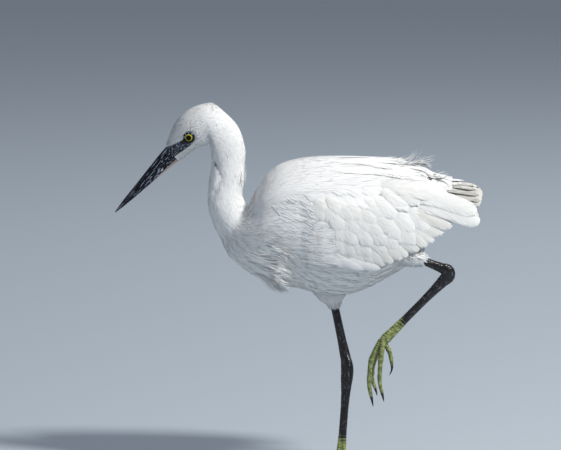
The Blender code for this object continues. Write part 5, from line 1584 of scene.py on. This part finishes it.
def bill_material():
    """Black horn with fine blue-grey streaks near the face, which are painted highlights, pale flesh where the pale
    attribute says so, and painted shade where the furrow attribute says so.
    """
    made = bpy.data.materials.new("bill_horn")
    made.use_nodes = True
    tree = made.node_tree
    shader = tree.nodes["Principled BSDF"]
    place = tree.nodes.new("ShaderNodeTexCoord")
    turned = tree.nodes.new("ShaderNodeMapping")
    turned.vector_type = "TEXTURE"
    turned.inputs["Rotation"].default_value = (0, math.radians(-52), 0)
    turned.inputs["Scale"].default_value = (42.0, 1.0, 1.0)
    node_link(tree, place.outputs["Object"], turned.inputs["Vector"])
    painted_highlight_streaks = tree.nodes.new("ShaderNodeTexNoise")
    painted_highlight_streaks.inputs["Scale"].default_value = 1450
    painted_highlight_streaks.inputs["Detail"].default_value = 2
    painted_highlight_streaks.inputs["Roughness"].default_value = 0.5
    node_link(tree, turned.outputs["Vector"], painted_highlight_streaks.inputs["Vector"])
    # The blue-grey end of this ramp paints highlights on the black horn.
    ramp = tree.nodes.new("ShaderNodeValToRGB")
    ramp.color_ramp.elements[0].position = 0.58
    ramp.color_ramp.elements[0].color = (0.004, 0.005, 0.009, 1)
    ramp.color_ramp.elements[1].position = 0.64
    ramp.color_ramp.elements[1].color = (0.46, 0.54, 0.70, 1)
    node_link(tree, painted_highlight_streaks.outputs["Fac"], ramp.inputs["Fac"])
    along = tree.nodes.new("ShaderNodeAttribute")
    along.attribute_name = "along"
    fade = tree.nodes.new("ShaderNodeMapRange")
    fade.inputs["From Min"].default_value = 0.25
    fade.inputs["From Max"].default_value = 0.75
    fade.inputs["To Min"].default_value = 0.0
    fade.inputs["To Max"].default_value = 0.75
    node_link(tree, along.outputs["Fac"], fade.inputs["Value"])
    tip = tree.nodes.new("ShaderNodeMix")
    tip.data_type = "RGBA"
    tip.inputs["B"].default_value = (0.004, 0.004, 0.007, 1)
    node_link(tree, fade.outputs["Result"], tip.inputs["Factor"])
    node_link(tree, ramp.outputs["Color"], tip.inputs["A"])
    pale = tree.nodes.new("ShaderNodeAttribute")
    pale.attribute_name = "pale"
    flesh = tree.nodes.new("ShaderNodeMix")
    flesh.data_type = "RGBA"
    flesh.inputs["B"].default_value = (0.46, 0.34, 0.27, 1)
    node_link(tree, pale.outputs["Fac"], flesh.inputs["Factor"])
    node_link(tree, tip.outputs["Result"], flesh.inputs["A"])
    # Painted shade in the groove and the nostril, where the furrow attribute says so.
    dark = tree.nodes.new("ShaderNodeAttribute")
    dark.attribute_name = "furrow"
    last = tree.nodes.new("ShaderNodeMix")
    last.data_type = "RGBA"
    last.inputs["B"].default_value = (0.003, 0.003, 0.004, 1)
    node_link(tree, dark.outputs["Fac"], last.inputs["Factor"])
    node_link(tree, flesh.outputs["Result"], last.inputs["A"])
    node_link(tree, last.outputs["Result"], shader.inputs["Base Color"])
    shader.inputs["Roughness"].default_value = 0.24
    shader.inputs["Specular IOR Level"].default_value = 0.22
    bump = tree.nodes.new("ShaderNodeBump")
    bump.inputs["Strength"].default_value = 0.4
    bump.inputs["Distance"].default_value = 0.00012
    node_link(tree, painted_highlight_streaks.outputs["Fac"], bump.inputs["Height"])
    node_link(tree, bump.outputs["Normal"], shader.inputs["Normal"])
    return made


bill_horn = bill_material()
for half_name, upper in (("bill_upper", True), ("bill_lower", False)):
    points, along, pale, furrow = bill_half(upper)
    horn_half = mesh_from_grid(half_name + "_horn", points, bill_horn)
    add_attribute(horn_half.data, "along", along.ravel())
    add_attribute(horn_half.data, "pale", pale.ravel())
    add_attribute(horn_half.data, "furrow", furrow.ravel())
    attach(horn_half, "root")
    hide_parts(half_name)


# Eyes: glassy balls with a round black pupil and a yellow iris, dark at both its rims, set into the face
# and held by a bare, beaded rim of blue-black skin, with a few pale spots on its upper rear beads that are painted
# highlights.
EYE_RADIUS = 5.8 * MM
EYE_SINK = 3.9 * MM
EYE_PLACE = 2.11
EYE_TURN = math.radians(-6.5)


def eye_material():
    made = bpy.data.materials.new("eye")
    made.use_nodes = True
    tree = made.node_tree
    shader = tree.nodes["Principled BSDF"]
    polar = tree.nodes.new("ShaderNodeAttribute")
    polar.attribute_name = "polar"
    ramp = tree.nodes.new("ShaderNodeValToRGB")
    stops = (
        (0.0, (0.001, 0.001, 0.001)), (0.252, (0.001, 0.001, 0.001)), (0.272, (0.10, 0.08, 0.004)),
        (0.30, (0.45, 0.37, 0.02)), (0.365, (0.70, 0.60, 0.07)), (0.405, (0.30, 0.26, 0.02)), (0.425, (0.003, 0.003, 0.004)),
    )
    elements = ramp.color_ramp.elements
    elements[0].position, elements[0].color = stops[0][0], (*stops[0][1], 1)
    elements[1].position, elements[1].color = stops[-1][0], (*stops[-1][1], 1)
    for position, colour in stops[1:-1]:
        added = elements.new(position)
        added.color = (*colour, 1)
    node_link(tree, polar.outputs["Fac"], ramp.inputs["Fac"])
    place = tree.nodes.new("ShaderNodeTexCoord")
    fibres = tree.nodes.new("ShaderNodeTexNoise")
    fibres.inputs["Scale"].default_value = 1500
    node_link(tree, place.outputs["Object"], fibres.inputs["Vector"])
    shade = tree.nodes.new("ShaderNodeMix")
    shade.data_type = "RGBA"
    shade.blend_type = "MULTIPLY"
    shade.inputs["Factor"].default_value = 0.45
    node_link(tree, ramp.outputs["Color"], shade.inputs["A"])
    node_link(tree, fibres.outputs["Fac"], shade.inputs["B"])
    node_link(tree, shade.outputs["Result"], shader.inputs["Base Color"])
    shader.inputs["Roughness"].default_value = 0.5
    shader.inputs["Specular IOR Level"].default_value = 0.0
    shader.inputs["Coat Weight"].default_value = 1.0
    shader.inputs["Coat IOR"].default_value = 1.28
    shader.inputs["Coat Roughness"].default_value = 0.02
    return made


def rim_material():
    made = bpy.data.materials.new("eye_rim")
    made.use_nodes = True
    tree = made.node_tree
    shader = tree.nodes["Principled BSDF"]
    place = tree.nodes.new("ShaderNodeTexCoord")
    spots = tree.nodes.new("ShaderNodeTexVoronoi")
    spots.inputs["Scale"].default_value = 950
    node_link(tree, place.outputs["Object"], spots.inputs["Vector"])
    pale = tree.nodes.new("ShaderNodeAttribute")
    pale.attribute_name = "pale"
    # Pale blue where the pale attribute says so: painted highlights on the beaded rim.
    mixed = tree.nodes.new("ShaderNodeMix")
    mixed.data_type = "RGBA"
    mixed.inputs["A"].default_value = (0.006, 0.008, 0.014, 1)
    mixed.inputs["B"].default_value = (0.36, 0.50, 0.62, 1)
    node_link(tree, pale.outputs["Fac"], mixed.inputs["Factor"])
    node_link(tree, mixed.outputs["Result"], shader.inputs["Base Color"])
    bump = tree.nodes.new("ShaderNodeBump")
    bump.inputs["Strength"].default_value = 0.5
    bump.inputs["Distance"].default_value = 0.0002
    node_link(tree, spots.outputs["Distance"], bump.inputs["Height"])
    node_link(tree, bump.outputs["Normal"], shader.inputs["Normal"])
    shader.inputs["Roughness"].default_value = 0.35
    shader.inputs["Specular IOR Level"].default_value = 0.3
    return made


eye_glass = eye_material()
rim_skin = rim_material()
for side, eye_name in ((-1, "left"), (1, "right")):
    turn = EYE_TURN if side > 0 else math.pi - EYE_TURN
    where = (np.array([EYE_PLACE]), np.array([turn]))
    surface = body_bed(*where, np.zeros(1))[0]
    axis = unit(body_bed(*where, np.full(1, MM))[0] - surface)
    forward = unit(np.cross(np.array((0.0, side, 0.0)), axis) + np.array((-0.7, 0, -0.35)))
    forward = unit(forward - axis * forward.dot(axis))
    upward = np.cross(axis, forward) * (1 if side > 0 else -1)
    upward = upward if upward[2] > 0 else -upward
    centre = surface - axis * EYE_SINK
    polar = np.linspace(0, math.pi * 0.92, 72)[1:]
    around = np.arange(64) * 2 * math.pi / 64
    bulge = EYE_RADIUS * (1 + 0.05 * np.exp(-(polar / 0.5) ** 2))
    ring = np.cos(around)[:, None] * forward + np.sin(around)[:, None] * upward
    points = centre + axis * (bulge * np.cos(polar))[:, None, None] + ring[None] * (bulge * np.sin(polar))[:, None, None]
    eye = mesh_from_grid("eye_ball_" + eye_name, points, eye_glass)
    add_attribute(eye.data, "polar", np.repeat(polar / (math.pi / 2) * 0.9, 64))
    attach(eye, "root")
    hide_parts("eye_" + eye_name)
    # The rim's section, from inside against the ball outwards: distance from the axis and height.
    profile = np.array([
        (4.55, -0.2), (4.5, 0.35), (4.62, 0.75), (4.9, 0.98), (5.25, 0.85), (5.6, 0.45), (5.9, 0.05), (6.2, -0.6), (5.5, -1.2),
    ]) * MM
    steps = 96
    around = np.arange(steps) * 2 * math.pi / steps
    corner = np.exp(-((np.mod(around + math.pi, 2 * math.pi) - math.pi) / 0.35) ** 2)
    bead = 0.10 * MM * np.abs(np.sin(around * 17))
    reach = profile[:, 0][:, None] + corner * np.linspace(0.0, 1.3, len(profile))[:, None] * MM
    lift = profile[:, 1][:, None] + bead * np.exp(-((profile[:, 1][:, None] / MM - 0.9) / 0.4) ** 2)
    ring = np.cos(around)[:, None] * forward + np.sin(around)[:, None] * upward
    points = surface + axis * lift[..., None] * 0.8 + ring[None] * reach[..., None]
    rim_points = points.transpose(1, 0, 2)
    sides = len(profile)
    faces = []
    for i in range(steps):
        for k in range(sides):
            a = i * sides + k
            b = i * sides + (k + 1) % sides
            c = ((i + 1) % steps) * sides + (k + 1) % sides
            d = ((i + 1) % steps) * sides + k
            faces.append((a, b, c, d))
    rim_mesh = bpy.data.meshes.new("eye_rim_" + eye_name)
    rim_mesh.from_pydata(rim_points.reshape(-1, 3).tolist(), [], faces)
    shell = bmesh.new()
    shell.from_mesh(rim_mesh)
    bmesh.ops.recalc_face_normals(shell, faces=shell.faces)
    shell.to_mesh(rim_mesh)
    shell.free()
    rim_mesh.shade_smooth()
    # Pale spots only on the raised beads of the upper rear side, where light falls: painted highlights.
    pale = np.clip(np.sin(around * 9) * 2 - 0.8, 0, 1) * smooth_step((np.sin(around - 0.15 * math.pi) + 0.1) / 0.6)
    add_attribute(rim_mesh, "pale", np.repeat(pale, sides) * np.tile((profile[:, 1] > 0.4 * MM) * 1.0, steps))
    rim = mesh_object("eye_rim_" + eye_name, rim_mesh, rim_skin)
    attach(rim, "root")


# Breast plumes: long, narrow, wavy locks that hang from the lower neck over the breast to loose points.
BREAST_PLUMES = (
    (0, 0, 36, 0), (0, -14, 34, 0), (0, 14, 34, 0), (6, -7, 38, 0), (6, 7, 38, 0), (8, -22, 38, 0.3), (8, 22, 38, 0.3),
    (14, 0, 42, 0.4), (16, -14, 42, 0.6), (16, 14, 42, 0.6), (18, -28, 40, 0.8), (18, 28, 40, 0.8),
    (24, -7, 42, 1.2), (24, 7, 42, 1.2), (26, -20, 40, 1.2), (26, 20, 40, 1.2), (30, -32, 38, 1.4), (30, 32, 38, 1.4),
    (33, -13, 38, 2.4), (33, 13, 38, 2.4), (36, 0, 38, 3.4), (38, -24, 36, 2), (38, 24, 36, 2),
    (41, -7, 34, 4.2), (41, 7, 34, 4.2), (43, -16, 32, 3.6), (43, 16, 32, 3.6), (44, 0, 28, 5),
    (14, -40, 34, 0.8), (14, 40, 34, 0.8), (26, -42, 34, 1.6), (26, 42, 34, 1.6), (36, -34, 32, 2), (36, 34, 32, 2),
)
PLUME_VANE = np.array([
    (0, 0.5), (0.12, 0.85), (0.3, 1.0), (0.5, 0.9), (0.7, 0.66), (0.85, 0.4), (0.95, 0.2), (1.0, 0.06),
])


def bosom_bed(reach, sideways, lift):
    """The breast by distance down from the lower neck and distance aside, in metres."""
    place = 14.6 + reach / (15.5 * MM)
    turn = -math.pi / 2 + np.radians(sideways / MM * 1.75)
    return body_bed(place, turn, lift)


rng = np.random.default_rng(81)
plumes = np.array(BREAST_PLUMES, float)
strands = 24
rows = np.repeat(plumes, strands, axis=0)
count = len(rows)
down = rows[:, 0] * MM + rng.normal(0, 3.0, count) * MM
aside = rows[:, 1] * MM + rng.normal(0, 2.6, count) * MM
length = rows[:, 2] * rng.uniform(0.72, 1.06, count) * MM
half = rng.uniform(0.5, 0.95, count) * MM
gather = (rows[:, 1] * MM - aside) / length
heading = np.arctan(gather) + np.radians(rng.normal(0, 3, count))
stations = np.array([0.0, 0.15, 0.32, 0.5, 0.66, 0.82, 0.93, 1.0])
widths = np.array([0.6, 0.9, 1.0, 0.95, 0.82, 0.62, 0.4, 0.05])
wave_phase = np.repeat(rng.uniform(0, 6.28, len(plumes)), strands) + rng.normal(0, 0.3, count)
reach = rows[:, 0] + rows[:, 2]
droop = (rows[:, 3] + 5.0 * smooth_step((reach - 62) / 12)) * rng.uniform(0.7, 1.15, count)
lifts = np.stack([
    (-0.8 + 1.9 * math.sin(min(s * 2.2, 1.57)) + rng.uniform(-0.3, 0.5, count)) * MM
    + (droop * s ** 2 + 0.3 * np.sin(wave_phase + s * 14)) * MM
    for s in stations
], axis=1)
lifts[:, 0] = -1.0 * MM
at = frames_on_bed(bosom_bed, down, aside, heading, length, np.radians(rng.normal(0, 5, count)), stations, lifts)
swing = (0.8 * np.sin(wave_phase[:, None] * 1.7 + stations[None, :] * 13) * stations[None, :]) * MM
ring = np.array([-1.0, 0.0, 1.0])
wide = half[:, None, None] * widths[None, :, None]
sections = at(
    np.broadcast_to(stations[None, :, None], (count, 8, 3)), swing[..., None] + wide * ring,
    np.broadcast_to(0.35 * MM * (1 - np.abs(ring)), (count, 8, 3)) * widths[None, :, None],
)
spots = body_unwrap(14.6 + down / (15.5 * MM), -math.pi / 2 + np.radians(aside / MM * 1.75))
tone = rng.uniform(0, 1, count)
smooth = down < 36 * MM
parts = [(sections[smooth], tone[smooth], False, spots[smooth], 0.003)]
parts.append((sections[~smooth], tone[~smooth], True, spots[~smooth], 0.003))
breast = feather_mesh("breast_plumes", parts, white_plumage)
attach(breast, "root")
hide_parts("breast")


# Back plumes: long, loose plumes that lie over the folded wings from the shoulders, with free barbs
# that curl up at their tips behind the back's flat top.
BACK_PLUMES = (
    (20, 24, 92, 24, 5.0, 0, 0.8), (20, -24, 92, -24, 5.0, 0, 0.8), (30, 13, 106, 15, 4.6, 0, 1.0),
    (30, -13, 106, -15, 4.6, 0, 1.0), (24, 0, 100, 0, 4.6, 0, 1.0), (44, 22, 118, 24, 4.6, 0, 1.2),
    (44, -22, 118, -24, 4.6, 0, 1.2), (46, 8, 112, 9, 4.2, 1, 1.4), (46, -8, 112, -9, 4.2, 1, 1.4),
    (60, 15, 132, 17, 4.4, 0, 1.4), (60, -15, 134, -17, 4.4, 0, 1.4), (56, 3, 122, 4, 3.6, 5, 1.8),
    (62, -4, 128, -3, 3.6, 5, 1.8), (58, -10, 124, -9, 3.6, 6, 1.7), (68, 9, 128, 10, 3.6, 3, 1.7),
    (84, -20, 150, -16, 4.2, 1, 1.2), (84, 20, 150, 16, 4.2, 1, 1.2), (90, -10, 148, -9, 4.2, 2, 1.6),
    (90, 10, 148, 9, 4.2, 2, 1.6),
)


def back_bed(x, y, lift):
    """The top of the back by x and y."""
    place = np.interp(x, TORSO_X, np.arange(15, LAST_SECTION + 1))
    rows = body_section(place)
    turn = np.arccos(np.clip(y / np.maximum(rows[..., 4], MM), -0.95, 0.95))
    return body_bed(place, turn, lift)


# Under the plumes lie smooth, broad locks that close the back.
rng = np.random.default_rng(90)
count = 3800
place = 17.6 + 9.9 * halton(count, 2, 7)
turn = math.pi * (0.09 + 0.82 * halton(count, 3, 7))
tips = rng.uniform(0.25, 0.6, count) * (1 + 3.5 * smooth_step((place - 25.4) / 1.6)) * MM
sections = grow(
    body_bed, place, turn, np.radians(rng.normal(0, 3, count)), rng.uniform(17, 25, count) * MM, rng.uniform(1.0, 1.5, count) * MM,
    LOCK_FORM, np.stack((np.full(count, -0.5 * MM), tips * 0.5, tips, tips * 0.8), axis=1), EDGES, 0.25 * MM,
)
back_coat = feather_mesh(
    "coat_back", [(sections, rng.uniform(0.3, 1, count), False, body_unwrap(place, turn), 0.003)], white_plumage,
)
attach(back_coat, "root")

rng = np.random.default_rng(91)
plumes = np.array(BACK_PLUMES, float)
run = plumes[:, 2:4] - plumes[:, 0:2]
length = np.hypot(run[:, 0], run[:, 1]) * MM
heading = np.arctan2(run[:, 1], run[:, 0])
shares = np.array([0, 0.12, 0.3, 0.5, 0.7, 0.85, 0.94, 1.0])
curl = plumes[:, 5][:, None] * np.clip((shares - 0.8) / 0.2, 0, 1)[None, :] ** 1.5
lifts = (plumes[:, 6][:, None] * np.sin(np.minimum(shares * 2.4, 1.4))[None, :] - 0.9 * (shares == 0) + curl) * MM
at = frames_on_bed(
    back_bed, plumes[:, 0] * MM, plumes[:, 1] * MM, heading, length, np.radians(rng.normal(0, 2, len(plumes))), shares, lifts,
)
half = plumes[:, 4] * MM
parts = []
tone = rng.uniform(0.6, 1, len(plumes))
spots = body_unwrap(np.interp(plumes[:, 0] * MM, TORSO_X, np.arange(15, LAST_SECTION + 1)), math.pi / 2 - plumes[:, 1] / 40)
parts.append((vanes(at, half * 0.8, PLUME_VANE, 0.4 * MM, 0.08, 0.0, rng), tone, False, spots, 0.003))
number = 130
loose = barbs(at, length, half, PLUME_VANE, 0.08, 0.0, number, 0.42 * MM, 3.5 * MM, rng, lift=0.05 * MM, open_angle=15)
loose_tone = np.clip(np.repeat(tone, number) + rng.normal(0, 0.3, len(loose)), 0, 1)
parts.append((loose, loose_tone, False, np.repeat(spots, number, axis=0) + rng.normal(0, 0.006, (len(loose), 2)), 0.003))
# Free barbs at the tips: each leaves the shaft near its end and curls up and over.
free = 10
which = np.repeat(np.arange(len(plumes)), free)
leave = rng.uniform(0.72, 0.98, len(which))
grow_out = rng.uniform(7, 15, len(which)) * MM
rise = rng.uniform(0.35, 1.0, len(which)) * (0.3 + 0.14 * plumes[which, 5])
fan = rng.uniform(-1, 1, len(which)) * 0.35
steps = np.array([0.0, 0.25, 0.5, 0.75, 0.9, 1.0])
sizes = np.array([0.9, 1.0, 0.85, 0.65, 0.5, 0.0])
along = leave[:, None] + (grow_out / length[which])[:, None] * steps * (1 - 0.25 * rise[:, None] * steps)
swing = fan[:, None] * grow_out[:, None] * steps * 0.7
height = (rise * grow_out)[:, None] * steps ** 2 * 0.9
picked_at = frames_on_bed(
    back_bed, plumes[which, 0] * MM, plumes[which, 1] * MM, heading[which], length[which], np.zeros(len(which)), shares, lifts[which],
)
wide = 0.42 * MM * sizes[None, :, None]
free_sections = picked_at(
    np.broadcast_to(along[..., None], along.shape + (3,)), swing[..., None] + wide * ring,
    height[..., None] + 0.6 * MM * (1 - np.abs(ring)) * sizes[None, :, None],
)
parts.append((free_sections, np.clip(rng.normal(0.9, 0.1, len(which)), 0, 1), True, spots[which], 0.003))
plume_piece = feather_mesh("back_plumes", parts, white_plumage)
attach(plume_piece, "root")
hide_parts("mantle")
